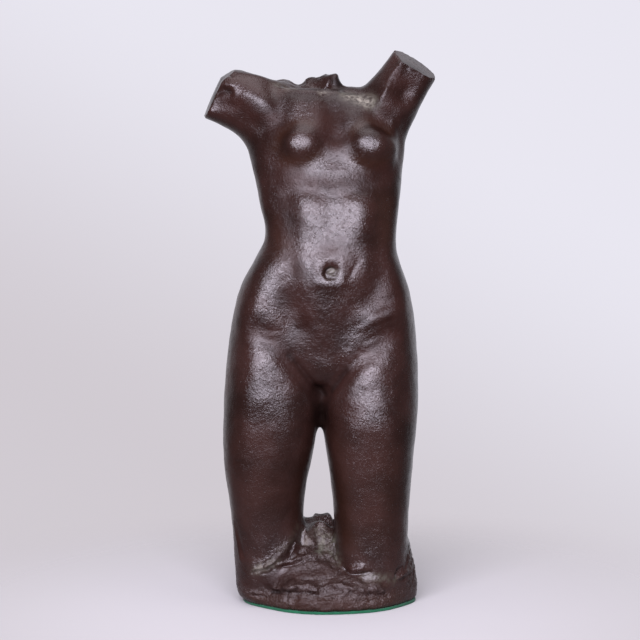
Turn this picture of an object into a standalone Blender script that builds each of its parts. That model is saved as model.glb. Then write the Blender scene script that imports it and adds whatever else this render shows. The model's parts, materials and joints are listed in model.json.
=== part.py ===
"""A cast bronze torso rising out of a rock base, with a felt pad glued under it.

The figure faces -Y, its right side is at -X, and the floor is at Z = 0. The origin is the middle of
the felt's underside. All sizes are in metres.
"""

import math

import bmesh
import bpy
import numpy as np
from mathutils import Vector, noise

# Driving sizes
FIGURE_HEIGHT = 0.441
BASE_WIDTH = 0.1425
BASE_DEPTH = 0.102
BASE_WALL = 0.0165
MOUND_HEIGHT = 0.036
FACET_SIZE = 0.0125
FACET_RELIEF = 0.0076
FELT_THICKNESS = 0.002
FELT_INSET = 0.0012
GLUE_GAP = 0.0003

# The figure is measured in its own units: one is a millimetre at the height above.
UNIT = FIGURE_HEIGHT / 441

# Fineness of the clay that the masses are fused in, and of the finished solid
CLAY_VOXEL = 0.0024
BODY_SOFTENING = 30
FINAL_SOFTENING = 4
TRIANGLES = 9400
RING_POINTS = 56
LOFT_STEPS = 40
LEG_SQUARENESS = 2.5
OUTLINE_POINTS = 128
ROCK_RINGS = 30

# Stations of the trunk from its floor to its top:
# height, middle, half width, front, back, squareness
TRUNK = (
    (157, -6, 10, -14, 14, 2.0),
    (164, -6, 18, -24, 25, 2.0),
    (173, -6, 28, -30, 34, 2.0),
    (187, -5, 39, -34, 40, 2.1),
    (205, -5, 49, -37, 45, 2.2),
    (225, -4, 54, -40.5, 46, 2.3),
    (245, -3, 57, -44, 42, 2.4),
    (262, -2, 56, -46, 37, 2.5),
    (278, 0, 53.2, -45, 32, 2.7),
    (297, 2.2, 51.6, -42, 30, 2.9),
    (316, 1.0, 54.8, -39.5, 32.5, 2.9),
    (330, 0.6, 57, -37, 36, 2.7),
    (354, -1.2, 61, -35, 42, 2.4),
    (373, -2.2, 63.5, -32.5, 44, 2.3),
    (391, -7, 56, -28, 42, 2.2),
    (404, -14, 41, -22, 38, 2.1),
    (412, -17, 28, -14, 33, 2.0),
)

# Stations of a leg from inside the base to inside the waist:
# height, outer side, inner side, front, back
RIGHT_LEG = (
    (4, -73.5, -20, -30, 31),
    (30, -75.2, -20, -32, 32),
    (58, -76.8, -20, -35, 34),
    (85, -79.6, -19, -39, 37),
    (110, -83.4, -14.4, -43, 40.5),
    (136, -84.2, -9.6, -45.5, 42.5),
    (150, -83.8, -8.6, -46, 46),
    (169, -83.2, -4, -45, 53),
    (188, -82, -3, -43.5, 58),
    (207, -79.8, -3, -41.5, 58),
    (227, -76.8, -4, -40.5, 54),
    (246, -72.6, -5, -39.5, 47),
    (262, -66, -6, -37.5, 39),
    (277, -57.4, -8, -34, 32),
    (292, -50, -12, -29, 26),
    (308, -44, -16, -22, 19),
)
LEFT_LEG = (
    (4, 60, 5, -36, 27),
    (30, 62.5, 5, -38, 28),
    (58, 63.8, 5, -40, 31),
    (85, 65.2, 3.4, -43, 35),
    (110, 67.5, 0, -45.5, 39.5),
    (136, 69.8, -3.4, -47.5, 42.5),
    (150, 71.5, -4.2, -47.5, 46),
    (169, 72.2, -7, -45.5, 52.5),
    (188, 72, -7, -43.5, 57),
    (207, 70.8, -7, -41.5, 57.5),
    (227, 69, -6, -40.5, 54),
    (246, 65.8, -4, -39.5, 47),
    (262, 60.8, -2, -37.5, 39),
    (277, 55.4, 2, -34, 32),
    (292, 52, 8, -29, 26),
    (308, 46, 14, -22, 19),
)

# Stations of an arm from inside the chest outwards:
# middle X, middle Y, middle height, half height, half depth
RIGHT_ARM = (
    (-33, 6, 382, 34, 33),
    (-49, 6, 390.5, 30, 29.5),
    (-64, 5, 398.4, 25.8, 26.5),
    (-78, 4, 402.8, 23.8, 23),
    (-91, 3, 405.8, 20.8, 20.5),
    (-104, 2, 409, 21, 19.5),
)
LEFT_ARM = (
    (20, 7, 362, 36, 33),
    (34, 6, 380.5, 30, 29.5),
    (48, 4, 398.5, 24.4, 25.5),
    (60, 2, 416, 21.4, 20.5),
    (68.6, 1, 429.5, 20.6, 18.5),
    (78, 0, 447, 20.6, 18),
)

# Rounded masses laid on the softened body: middle, radii. The swells under the breasts, the breasts
# and the shoulder blades.
MASSES = (
    ((-20, -20.5, 360), (21.5, 14.4, 21)),
    ((32, -20.5, 359.5), (21.5, 14.4, 21)),
    ((-20.5, -28.5, 365), (16.2, 11.3, 15.6)),
    ((32, -28.5, 364.5), (16.6, 11.3, 15.6)),
    ((-36, 32, 372), (19, 13, 24)),
    ((27, 32, 374), (19, 13, 24)),
)

# The broken neck: masses left standing on its stump
NECK_MASSES = (
    ((-17, 6, 397), (29, 23, 13)),
    ((-36, 20, 406), (15, 12, 13.5)),
    ((-14, 20, 408), (13, 11, 13)),
    ((-2, 15, 410), (11, 13, 12.7)),
    ((3.5, 7, 411), (7, 11, 11.7)),
    ((18, 8, 399.6), (14, 17, 13.3)),
)

# Strokes of the modelling tool on the front: width, depth, then the path as X and height.
# A depth above zero builds up and one below zero carves in.
FRONT_STROKES = (
    # Between the breasts and under them
    (8, -2.2, ((3, 390), (4, 372), (3, 352))),
    (6, -1.2, ((-41, 353), (-24, 345), (-7, 351))),
    (6, -1.2, ((15, 351), (32, 344), (48, 351))),
    # The lower edge of the ribs, the shelf above it and the two swells of the belly wall
    (8, 0.9, ((-26, 341), (1, 342), (29, 341))),
    (7, -0.9, ((-44, 322), (-32, 332), (-14, 331), (1, 329), (17, 331), (34, 333), (45, 325))),
    (12, 1.3, ((-16, 320), (-14, 306))),
    (12, 2.2, ((25, 320), (24, 303))),
    (5, -0.5, ((2, 326), (2, 281))),
    # The sides of the belly wall
    (10, -2.4, ((-34, 322), (-31, 300), (-31, 280), (-31, 262), (-29, 240), (-26, 224))),
    (9, -2.2, ((47, 320), (43, 300), (40, 282), (40, 264), (38, 246))),
    # The navel, the rise round it and the creases beside it
    (12, 1.6, ((2, 272), (2, 262))),
    (4.2, -5.0, ((1, 268), (3, 268))),
    (2.6, -1.3, ((-12, 286), (-7, 279))),
    (2.6, -1.5, ((16, 266), (24, 283))),
    # The hip bones
    (15, 3.0, ((-46, 270), (-53, 250), (-60, 230))),
    (13, 2.4, ((49, 268), (55, 248), (52, 232))),
    # Folds of the left hip
    (4, -1.0, ((24, 223), (36, 222), (47, 226))),
    (5, 0.8, ((22, 231), (36, 230), (48, 235))),
    (4, -0.5, ((30, 240), (44, 241), (52, 250))),
    # The belly, the lines of the groin and the mound between them
    (24, 1.6, ((-3, 232), (-3, 218))),
    (6.5, -3.4, ((-54, 222), (-37, 209), (-26, 195), (-16, 182), (-7, 171))),
    (6.5, -3.2, ((48, 218), (32, 206), (17, 191), (4, 179), (-4, 171))),
    (9, 1.8, ((-5, 192), (-5, 184))),
    (3.2, -4.0, ((-6, 173), (-6, 158), (-5, 146))),
    # The swell of each thigh
    (17, 2.6, ((-57, 196), (-58, 172))),
    (16, 2.4, ((33, 186), (34, 150))),
    # From the shoulders to the chest
    (7, -2.4, ((-44, 412), (-38, 398), (-36, 380))),
    (10, 1.8, ((-58, 404), (-52, 392))),
    (7, -2.6, ((33, 405), (37, 392), (41, 378))),
    (5, 2.2, ((57, 426), (47, 413), (40, 398))),
    (4, 1.5, ((51, 388), (52, 362))),
    (4, -1.8, ((58, 380), (58, 352))),
    (12, -1.8, ((-12, 395), (8, 395))),
)

# Strokes on the back, in the same terms
BACK_STROKES = (
    # The furrow of the spine with the muscles beside it, and the cleft below
    (7, -3.8, ((-15, 400), (-9, 372), (-3, 340), (1, 310), (0, 280), (-2, 256), (-3, 238))),
    (10, 2.4, ((-17, 335), (-13, 305), (-14, 272))),
    (10, 2.4, ((16, 335), (15, 305), (13, 272))),
    (5, -8.0, ((-4, 228), (-5, 205), (-6, 182), (-6, 160))),
    # The edges of the shoulder blades
    (7, -1.8, ((-20, 390), (-17, 370), (-24, 350), (-40, 344))),
    (7, -1.8, ((9, 392), (7, 372), (13, 352), (30, 346))),
    # The dimples over the pelvis
    (5, -2.2, ((-21, 252), (-22, 249))),
    (5, -2.2, ((16, 252), (17, 249))),
    # The buttocks and the folds under them
    (20, 3.6, ((-40, 196), (-38, 186))),
    (20, 3.6, ((33, 196), (31, 186))),
    (6, -3.6, ((-14, 161), (-34, 152), (-56, 155), (-73, 165))),
    (6, -3.6, ((3, 161), (22, 153), (42, 156), (60, 166))),
)

# Flat cuts that end the arms, the right arm's with a second cut across its top: point, facing
ARM_ENDS = (
    ((-91, 3, 405), (-0.9, -0.15, 0.41)),
    ((-83, 3, 419.3), (-0.6, -0.2, 0.78)),
    ((68.6, 0, 429.4), (0.53, -0.3, 0.81)),
)

# Places pressed flat: point, the way the flat faces, reach
FLATS = (
    ((68, -15, 419), (0.2, -0.97, -0.1), 26),
    ((-86, -13, 400), (-0.35, -0.93, 0.1), 19),
)

# Nicks in the ends of the arms and in the neck: path of points, radius, depth
NICKS = (
    (((-90, -12, 404), (-84, -15, 407), (-78, -17, 405)), 3.6, -3.2),
    (((-90, -10, 412), (-80, -12, 416)), 4.5, 1.2),
    (((-30, -2, 411), (-12, 0, 412), (0, -2, 410)), 7, -4.5),
    (((-24, 26, 420), (-22, 14, 416)), 4, -3.0),
    (((-6, -8, 409), (2, -10, 408)), 4, 1.6),
    (((16, -2, 405), (26, 2, 404)), 5, -1.5),
)

# Seams in the rock's wall: the angles round the base between which each one runs, the shares of the
# wall's height where it starts and ends, radius, depth
WALL_SEAMS = (
    (-152, -32, 0.92, 0.86, 2.6, -1.8),
    (-115, -113, 0.25, 0.8, 2.4, -1.3),
    (-84, -86, 0.25, 0.8, 2.4, -1.3),
    (-64, -61, 0.25, 0.8, 2.4, -1.3),
    (24, 148, 0.85, 1.0, 3.0, -1.7),
    (70, 74, 0.2, 0.8, 2.4, -1.2),
    (112, 108, 0.2, 0.8, 2.4, -1.2),
)


def clear_scene():
    """Removes every object that the file starts with."""
    for item in list(bpy.data.objects):
        bpy.data.objects.remove(item, do_unlink=True)


def make_material(name, colour, roughness, metallic):
    """A Principled material of one plain colour."""
    material = bpy.data.materials.new(name)
    material.use_nodes = True
    shader = material.node_tree.nodes["Principled BSDF"]
    shader.inputs["Base Color"].default_value = (*colour, 1.0)
    shader.inputs["Roughness"].default_value = roughness
    shader.inputs["Metallic"].default_value = metallic
    return material


def make_object(name, mesh, material=None):
    """Links a mesh to the scene under a name."""
    item = bpy.data.objects.new(name, mesh)
    bpy.context.collection.objects.link(item)
    if material:
        mesh.materials.append(material)
    return item


def smooth_stations(stations, steps):
    """Natural cubic curve through the stations, read at even steps of its first column's length."""
    values = np.array(stations, float)
    count = len(values)
    spans = np.linalg.norm(np.diff(values[:, :3], axis=0), axis=1)
    knots = np.concatenate([[0.0], np.cumsum(spans)])
    matrix = np.eye(count)
    right = np.zeros_like(values)
    for i in range(1, count - 1):
        before, after = spans[i - 1], spans[i]
        matrix[i, i - 1 : i + 2] = before, 2 * (before + after), after
        right[i] = 6 * ((values[i + 1] - values[i]) / after - (values[i] - values[i - 1]) / before)
    bends = np.linalg.solve(matrix, right)
    read = np.linspace(0, knots[-1], steps)
    span = np.clip(np.searchsorted(knots, read, side="right") - 1, 0, count - 2)
    length = spans[span][:, None]
    low = (knots[span + 1] - read)[:, None]
    high = (read - knots[span])[:, None]
    return (
        (bends[span] * low**3 + bends[span + 1] * high**3) / (6 * length)
        + (values[span] / length - bends[span] * length / 6) * low
        + (values[span + 1] / length - bends[span + 1] * length / 6) * high
    )


def oval(half_width, front, back, squareness, count=RING_POINTS):
    """Points of a level section: a superellipse whose front and back have depths of their own."""
    angles = np.linspace(0, 2 * math.pi, count, endpoint=False)
    across = np.cos(angles)
    along = np.sin(angles)
    power = 2 / squareness
    middle = (front + back) / 2
    depth = (back - front) / 2
    x = half_width * np.sign(across) * np.abs(across) ** power
    y = middle + depth * np.sign(along) * np.abs(along) ** power
    return x, y


def add_loft(shape, rings):
    """Bridges closed rings of points into a closed body and caps both ends."""
    made = []
    for ring in rings:
        made.append([shape.verts.new(Vector(point) * UNIT) for point in ring])
    for low, high in zip(made, made[1:]):
        for i, corner in enumerate(low):
            j = (i + 1) % len(low)
            shape.faces.new((corner, low[j], high[j], high[i]))
    shape.faces.new(tuple(reversed(made[0])))
    shape.faces.new(made[-1])


def add_trunk(shape):
    """The ribcage, waist, belly and pelvis as one loft."""
    rings = []
    for height, middle, half, front, back, square in smooth_stations(TRUNK, LOFT_STEPS):
        x, y = oval(half, front, back, square)
        rings.append(np.column_stack([x + middle, y, np.full(len(x), height)]))
    add_loft(shape, rings)


def add_leg(shape, stations):
    """One thigh with its hip, from inside the base to inside the waist."""
    rings = []
    for height, outer, inner, front, back in smooth_stations(stations, LOFT_STEPS):
        x, y = oval(abs(outer - inner) / 2, front, back, LEG_SQUARENESS)
        rings.append(np.column_stack([x + (outer + inner) / 2, y, np.full(len(x), height)]))
    add_loft(shape, rings)


def add_arm(shape, stations):
    """One arm stump: ovals set square to the line through their middles."""
    path = smooth_stations(stations, LOFT_STEPS // 2)
    middles = path[:, :3]
    headings = np.gradient(middles, axis=0)
    angles = np.linspace(0, 2 * math.pi, RING_POINTS, endpoint=False)
    rings = []
    for middle, heading, (half_height, half_depth) in zip(middles, headings, path[:, 3:]):
        forward = Vector(heading).normalized()
        depth = Vector((0, 1, 0)) - forward * forward.y
        depth.normalize()
        upward = forward.cross(depth) if forward.x < 0 else depth.cross(forward)
        side = depth if forward.x < 0 else -depth
        ring = [
            Vector(middle) + side * (half_depth * math.cos(a)) + upward * (half_height * math.sin(a))
            for a in angles
        ]
        rings.append(ring)
    add_loft(shape, rings)


def add_mass(shape, middle, radii):
    """A rounded mass laid on the figure."""
    made = bmesh.ops.create_uvsphere(shape, u_segments=32, v_segments=20, radius=1.0)
    for corner in made["verts"]:
        corner.co = Vector(m + c * r for m, c, r in zip(middle, corner.co, radii)) * UNIT


def base_outline(angle, inset=0.0):
    """A point on the base's outline seen from above: an oval with the wobble of worked clay."""
    power = 2 / 1.93
    across, along = math.cos(angle), math.sin(angle)
    wobble = 1 + 0.008 * math.sin(3 * angle + 0.6) + 0.007 * math.sin(7 * angle + 2.0)
    wobble -= 0.06 * bell(math.remainder(angle + 2.5, 2 * math.pi) / 0.42)
    wobble -= 0.02 * bell(math.remainder(angle + 0.5, 2 * math.pi) / 0.3)
    x = (BASE_WIDTH / 2 - inset) * math.copysign(abs(across) ** power, across)
    y = (BASE_DEPTH / 2 - inset) * math.copysign(abs(along) ** power, along)
    return x * wobble, y * wobble


def bell(across, along=0.0):
    """A rise that is one in the middle and fades out at about twice its size."""
    return math.exp(-across * across - along * along)


def rock_form(x, y):
    """The rock's upper face before it is broken into facets, with shares of the base as its plan."""
    across, along = 2 * x / BASE_WIDTH, 2 * y / BASE_DEPTH
    inward = max(0.0, 1 - math.hypot(across, along))
    rise = 0.5 * BASE_WALL * min(1.0, 3.0 * inward)
    mound = min(MOUND_HEIGHT, 1.35 * MOUND_HEIGHT * bell((across + 0.1) / 0.3, (along - 0.2) / 0.55))
    behind = 0.85 * bell((across + 0.1) / 0.9, (along - 0.8) / 0.36)
    spur = 0.8 * bell((across + 0.42) / 0.36, (along + 0.5) / 0.22)
    lumps = 0.42 * bell((across - 0.45) / 0.12, (along + 0.78) / 0.14)
    lumps += 0.36 * bell((across - 0.78) / 0.1, (along + 0.5) / 0.16)
    flank = 2.2 * bell((across - 0.88) / 0.085, (along - 0.05) / 0.4)
    flange = 1.45 * bell((across + 0.97) / 0.08, along / 0.4)
    return BASE_WALL * (1 + behind + spur + lumps + flank + flange) + rise + mound


def rock_height(x, y):
    """Height of the rock over a place in the base: each cell of a net is one tilted facet."""
    place = Vector((x / FACET_SIZE, y / FACET_SIZE, 0.35))
    middle = noise.voronoi(place)[1][0]
    step = noise.noise(middle * 1.7 + Vector((3.1, 0.7, 5.2))) * FACET_RELIEF
    tilt_x = noise.noise(middle * 1.1 + Vector((8.4, 2.6, 1.3)))
    tilt_y = noise.noise(middle * 1.1 + Vector((0.9, 6.5, 4.8)))
    lean = (place.x - middle.x) * tilt_x + (place.y - middle.y) * tilt_y
    return rock_form(x, y) + step + 0.8 * FACET_SIZE * lean


def add_base(shape):
    """The rock: a wall round the outline and an uneven upper face."""
    angles = [2 * math.pi * i / OUTLINE_POINTS for i in range(OUTLINE_POINTS)]
    outline = [base_outline(a) for a in angles]
    rings = []
    for height, spread in ((0.0, 0.985), (0.2, 0.993), (0.5, 1.0), (0.8, 0.995), (1.0, 0.975)):
        ring = []
        for x, y in outline:
            top = rock_height(x * 0.975, y * 0.975)
            place = Vector((x, y, 1.5 * top * height)) * 0.75 / FACET_SIZE
            rough = 1 + 0.012 * noise.noise(place)
            ring.append(shape.verts.new((x * spread * rough, y * spread * rough, top * height)))
        rings.append(ring)
    for share in np.linspace(0.95, 0.05, ROCK_RINGS):
        ring = []
        for x, y in outline:
            ring.append(shape.verts.new((x * share, y * share, rock_height(x * share, y * share))))
        rings.append(ring)
    for low, high in zip(rings, rings[1:]):
        for i, corner in enumerate(low):
            j = (i + 1) % len(low)
            shape.faces.new((corner, low[j], high[j], high[i]))
    shape.faces.new(tuple(reversed(rings[0])))
    shape.faces.new(rings[-1])


def evaluated_mesh(item):
    """The mesh that an object's modifiers make of it."""
    graph = bpy.context.evaluated_depsgraph_get()
    graph.update()
    return bpy.data.meshes.new_from_object(item.evaluated_get(graph))


def fuse(shape, softening):
    """Fuses the bodies in a shape into one closed skin and softens it."""
    bmesh.ops.recalc_face_normals(shape, faces=shape.faces)
    mesh = bpy.data.meshes.new("clay")
    shape.to_mesh(mesh)
    shape.free()
    clay = make_object("clay", mesh)
    skin = clay.modifiers.new("skin", "REMESH")
    skin.mode = "VOXEL"
    skin.voxel_size = CLAY_VOXEL
    soften = clay.modifiers.new("soften", "SMOOTH")
    soften.factor = 0.5
    soften.iterations = softening
    fused = evaluated_mesh(clay)
    bpy.data.objects.remove(clay, do_unlink=True)
    return fused


def lay_up_clay():
    """The body, softened as one mass, then the smaller masses and the rock fused to it."""
    body = bmesh.new()
    add_trunk(body)
    add_leg(body, RIGHT_LEG)
    add_leg(body, LEFT_LEG)
    add_arm(body, RIGHT_ARM)
    add_arm(body, LEFT_ARM)
    softened = fuse(body, BODY_SOFTENING)
    whole = bmesh.new()
    whole.from_mesh(softened)
    for middle, radii in MASSES + NECK_MASSES:
        add_mass(whole, middle, radii)
    add_base(whole)
    return fuse(whole, FINAL_SOFTENING)


def distance_to_path(points, path):
    """Distance from each point to the nearest place on a line through the path's points."""
    path = np.array(path, float)
    nearest = np.linalg.norm(points - path[0], axis=1)
    for start, end in zip(path, path[1:]):
        along = end - start
        share = np.clip((points - start) @ along / (along @ along), 0, 1)
        nearest = np.minimum(nearest, np.linalg.norm(points - start - share[:, None] * along, axis=1))
    return nearest


def corners_of(mesh):
    """The mesh's corners in figure units and their outward directions."""
    places = np.empty(len(mesh.vertices) * 3)
    outward = np.empty(len(mesh.vertices) * 3)
    mesh.vertices.foreach_get("co", places)
    mesh.vertices.foreach_get("normal", outward)
    return places.reshape(-1, 3) / UNIT, outward.reshape(-1, 3)


def place_corners(mesh, places):
    """Puts the mesh's corners at places given in figure units."""
    mesh.vertices.foreach_set("co", (places * UNIT).ravel())
    mesh.update()


def seam_path(first, last, low, high, steps=9):
    """Points along a seam of the rock's wall, in figure units."""
    path = []
    for i in range(steps):
        share = i / (steps - 1)
        x, y = base_outline(math.radians(first + (last - first) * share))
        path.append((x / UNIT, y / UNIT, BASE_WALL * (low + (high - low) * share) / UNIT))
    return path


def carve(mesh):
    """Works the front and back with the strokes, then the nicks, seams and flats."""
    places, outward = corners_of(mesh)
    shift = np.zeros_like(places)
    seen = places[:, [0, 2]]
    for facing, strokes in ((-1, FRONT_STROKES), (1, BACK_STROKES)):
        turned = np.clip(facing * outward[:, 1] * 1.6, 0, 1) * (facing * (places[:, 1] - 2) > 0)
        for width, depth, path in strokes:
            fade = np.exp(-((distance_to_path(seen, path) / width) ** 2))
            shift += outward * (depth * fade * turned)[:, None]
    place_corners(mesh, places + shift)
    places, outward = corners_of(mesh)
    shift = np.zeros_like(places)
    seams = [(seam_path(*seam[:4]), seam[4], seam[5]) for seam in WALL_SEAMS]
    for path, radius, depth in list(NICKS) + seams:
        fade = np.exp(-((distance_to_path(places, path) / radius) ** 2))
        shift += outward * (depth * fade)[:, None]
    places += shift
    for point, facing, reach in FLATS:
        facing = np.array(facing) / np.linalg.norm(facing)
        above = np.clip((places - point) @ facing, 0, None)
        away = np.linalg.norm(places - point, axis=1) / reach
        near = np.clip(4 * (1 - away), 0, 1)
        places -= facing * (above * near)[:, None]
    place_corners(mesh, places)


def cut_flat(mesh, point, normal):
    """Cuts away what lies beyond a plane and closes the cut with a flat face."""
    shape = bmesh.new()
    shape.from_mesh(mesh)
    everything = shape.verts[:] + shape.edges[:] + shape.faces[:]
    cut = bmesh.ops.bisect_plane(
        shape, geom=everything, dist=1e-6, plane_co=point, plane_no=normal, clear_outer=True
    )
    rim = [piece for piece in cut["geom_cut"] if isinstance(piece, bmesh.types.BMEdge)]
    bmesh.ops.holes_fill(shape, edges=rim)
    shape.to_mesh(mesh)
    shape.free()


def make_torso():
    """The whole casting, figure and rock, as one solid."""
    mesh = lay_up_clay()
    carve(mesh)
    for point, facing in ARM_ENDS:
        cut_flat(mesh, Vector(point) * UNIT, Vector(facing).normalized())
    cut_flat(mesh, Vector((0, 0, FELT_THICKNESS + GLUE_GAP)), Vector((0, 0, -1)))
    bronze = make_material("bronze", (0.075, 0.045, 0.036), 0.34, 0.85)
    torso = make_object("bronze_torso", mesh, bronze)
    thin = torso.modifiers.new("fewer_faces", "DECIMATE")
    mesh.calc_loop_triangles()
    thin.ratio = min(1.0, TRIANGLES / len(mesh.loop_triangles))
    thin.use_collapse_triangulate = True
    return torso


def make_felt():
    """The felt pad, a flat sheet of the base's outline."""
    shape = bmesh.new()
    angles = [2 * math.pi * i / OUTLINE_POINTS for i in range(OUTLINE_POINTS)]
    corners = [shape.verts.new((*base_outline(a, FELT_INSET), 0.0)) for a in angles]
    face = shape.faces.new(corners)
    raised = bmesh.ops.extrude_face_region(shape, geom=[face])
    for piece in raised["geom"]:
        if isinstance(piece, bmesh.types.BMVert):
            piece.co.z = FELT_THICKNESS
    bmesh.ops.recalc_face_normals(shape, faces=shape.faces)
    mesh = bpy.data.meshes.new("felt_pad")
    shape.to_mesh(mesh)
    shape.free()
    return make_object("felt_pad", mesh, make_material("green_felt", (0.01, 0.16, 0.07), 0.95, 0.0))


def main():
    """Builds the sculpture and its pad."""
    clear_scene()
    make_torso()
    make_felt()


if __name__ == "__main__":
    main()
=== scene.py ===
"""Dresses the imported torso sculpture: the bronze casting in fine clay detail, its felt pad and a studio.

The figure faces -Y, its right side is at -X and the floor is at Z = 0. Objects are in metres, and the
tables of tool strokes are in millimetres.
"""

import json
import logging
import math
from dataclasses import dataclass, field
from enum import Enum

import bpy
import numpy as np
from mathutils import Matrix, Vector, noise

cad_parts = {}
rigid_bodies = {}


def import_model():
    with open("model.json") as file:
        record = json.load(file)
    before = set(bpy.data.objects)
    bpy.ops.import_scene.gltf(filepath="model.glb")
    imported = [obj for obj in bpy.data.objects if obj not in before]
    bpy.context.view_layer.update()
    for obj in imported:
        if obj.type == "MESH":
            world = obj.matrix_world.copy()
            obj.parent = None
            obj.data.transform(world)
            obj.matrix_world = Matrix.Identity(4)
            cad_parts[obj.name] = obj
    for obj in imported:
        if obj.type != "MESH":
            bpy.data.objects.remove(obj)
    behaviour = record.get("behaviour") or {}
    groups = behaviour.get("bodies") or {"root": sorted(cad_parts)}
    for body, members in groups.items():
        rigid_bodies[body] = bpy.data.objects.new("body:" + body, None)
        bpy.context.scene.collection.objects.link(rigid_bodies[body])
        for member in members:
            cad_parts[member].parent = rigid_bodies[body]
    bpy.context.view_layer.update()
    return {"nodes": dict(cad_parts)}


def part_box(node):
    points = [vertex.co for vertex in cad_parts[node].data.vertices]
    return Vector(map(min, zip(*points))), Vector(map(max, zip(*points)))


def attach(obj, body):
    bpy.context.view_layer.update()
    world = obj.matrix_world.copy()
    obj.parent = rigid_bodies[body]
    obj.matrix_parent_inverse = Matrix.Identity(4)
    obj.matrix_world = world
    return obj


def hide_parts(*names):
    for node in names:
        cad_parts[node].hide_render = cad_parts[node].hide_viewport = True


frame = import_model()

LOG = logging.getLogger("torso")
MILLIMETRE = 0.001
MERGE_DISTANCE = 0.00001
HAIR = 0.001
TILT_STEPS = (1.0, 4.0, 7.0)
TURN_GAIN = 1.8

Pair = tuple[float, float]
Point = tuple[float, float, float]
Colour = tuple[float, float, float]


class Side(Enum):
    """The side of the figure that a stroke works on, as the sign of the surface's outward Y."""

    FRONT = -1
    BACK = 1


class Stain(Enum):
    """What lies on the bronze and the painted shade of its folds: each up to the painted shade has a
    channel of the stains, then wear in the shape's alpha.
    """

    VERDIGRIS = 0
    DUST = 1
    WARMTH = 2
    # painted shade, not a real stain: it darkens the fork, the folds and the navel's moat
    SOOT = 3
    DULL = 4
    POLISH = 5


@dataclass(frozen=True)
class Stroke:
    """One stroke of the modelling tool, placed by X and height on one side of the figure."""

    width: float
    depth: float
    path: tuple[Pair, ...]
    side: Side = Side.FRONT


@dataclass(frozen=True)
class Dab:
    """A dent or a pat of clay that follows a path in space."""

    radius: float
    depth: float
    path: tuple[Point, ...]

    def share(self, places: np.ndarray) -> np.ndarray:
        """Fades from one on the path to nothing away from it.

        Args:
            places: points in millimetres.

        Returns:
            The share at each point.
        """
        return bell(path_distance(places, self.path), self.radius)


@dataclass(frozen=True)
class Flat:
    """A place pressed flat: a point on the plane, the way it faces, how far it reaches and how firmly."""

    point: Point
    facing: Point
    reach: float
    firmness: float = 1.0

    @property
    def normal(self) -> np.ndarray:
        """Gives the way it faces, at a length of one."""
        return np.array(self.facing) / np.linalg.norm(self.facing)

    def above(self, places: np.ndarray) -> np.ndarray:
        """Measures how far places stand above the plane.

        Args:
            places: points in millimetres.

        Returns:
            Millimetres for each point, below zero under the plane.
        """
        return (places - self.point) @ self.normal

    def away(self, places: np.ndarray) -> np.ndarray:
        """Measures how far places lie from the plane's point.

        Args:
            places: points in millimetres.

        Returns:
            Millimetres for each point.
        """
        return np.linalg.norm(places - self.point, axis=1)


@dataclass(frozen=True)
class Patch:
    """A stain that follows a path in space, with its radius and its strength."""

    stain: Stain
    radius: float
    strength: float
    path: tuple[Point, ...]

    def share(self, places: np.ndarray) -> np.ndarray:
        """Fades from the full strength on the path to nothing away from it.

        Args:
            places: points in millimetres.

        Returns:
            The share at each point.
        """
        return self.strength * bell(path_distance(places, self.path), self.radius)


@dataclass(frozen=True)
class Thigh:
    """The buried end of a thigh: ovals low and high, each as outer, inner, front and back."""

    low: tuple[float, float, float, float]
    high: tuple[float, float, float, float]
    low_height: float = 4.0
    high_height: float = 85.0
    squareness: float = 2.5

    def outside(self, places: np.ndarray) -> np.ndarray:
        """Measures how far places stand out of the thigh.

        Args:
            places: points in millimetres.

        Returns:
            Distance out of the oval for each point, below zero inside it.
        """
        span = self.high_height - self.low_height
        share = np.clip((places[:, 2] - self.low_height) / span, 0, 1)[:, None]
        outer, inner, front, back = (np.array(self.low) * (1 - share) + np.array(self.high) * share).T
        half_width, half_depth = np.abs(outer - inner) / 2, (back - front) / 2
        across = (places[:, 0] - (outer + inner) / 2) / half_width
        along = (places[:, 1] - (front + back) / 2) / half_depth
        power = self.squareness
        reach = (np.abs(across) ** power + np.abs(along) ** power) ** (1 / power)
        return (reach - 1) * np.minimum(half_width, half_depth)


def path_distance(points: np.ndarray, path: tuple[tuple[float, ...], ...]) -> np.ndarray:
    """Finds how far points lie from a line through a path.

    Args:
        points: rows of coordinates.
        path: corners of the line, with as many coordinates as the points.

    Returns:
        One distance for each point.
    """
    corners = np.array(path, float)
    nearest = np.linalg.norm(points - corners[0], axis=1)
    for start, end in zip(corners, corners[1:]):
        along = end - start
        share = np.clip((points - start) @ along / (along @ along), 0, 1)
        nearest = np.minimum(nearest, np.linalg.norm(points - start - share[:, None] * along, axis=1))
    return nearest


def bell(distance: np.ndarray, width: float) -> np.ndarray:
    """Fades from one to nothing over about twice the width.

    Args:
        distance: distances from the middle.
        width: where about a third is left.

    Returns:
        The share left at each distance.
    """
    return np.exp(-((distance / width) ** 2))


def ramp(values: np.ndarray, low: float, high: float) -> np.ndarray:
    """Rises smoothly from nought at low to one at high.

    Args:
        values: numbers to place on the ramp.
        low: value that gives nought.
        high: value that gives one.

    Returns:
        Shares from nought to one.
    """
    share = np.clip((values - low) / (high - low), 0, 1)
    return share * share * (3 - 2 * share)


def clay_noise(
    places: np.ndarray, chosen: np.ndarray, size: float, octaves: int, start: float
) -> np.ndarray:
    """Reads an uneven field over chosen places.

    Args:
        places: points in millimetres.
        chosen: which of them are read; the others get nought.
        size: width of the largest bumps.
        octaves: how many finer layers are added.
        start: moves the field, so that each use has its own.

    Returns:
        One value for each point, about -1 to 1.
    """
    values = np.zeros(len(places))
    for index in np.nonzero(chosen)[0]:
        place = Vector(places[index]) / size + Vector((start, start * 0.7, start * 1.3))
        values[index] = noise.fractal(place, 1.0, 2.1, octaves)
    return values


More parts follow.
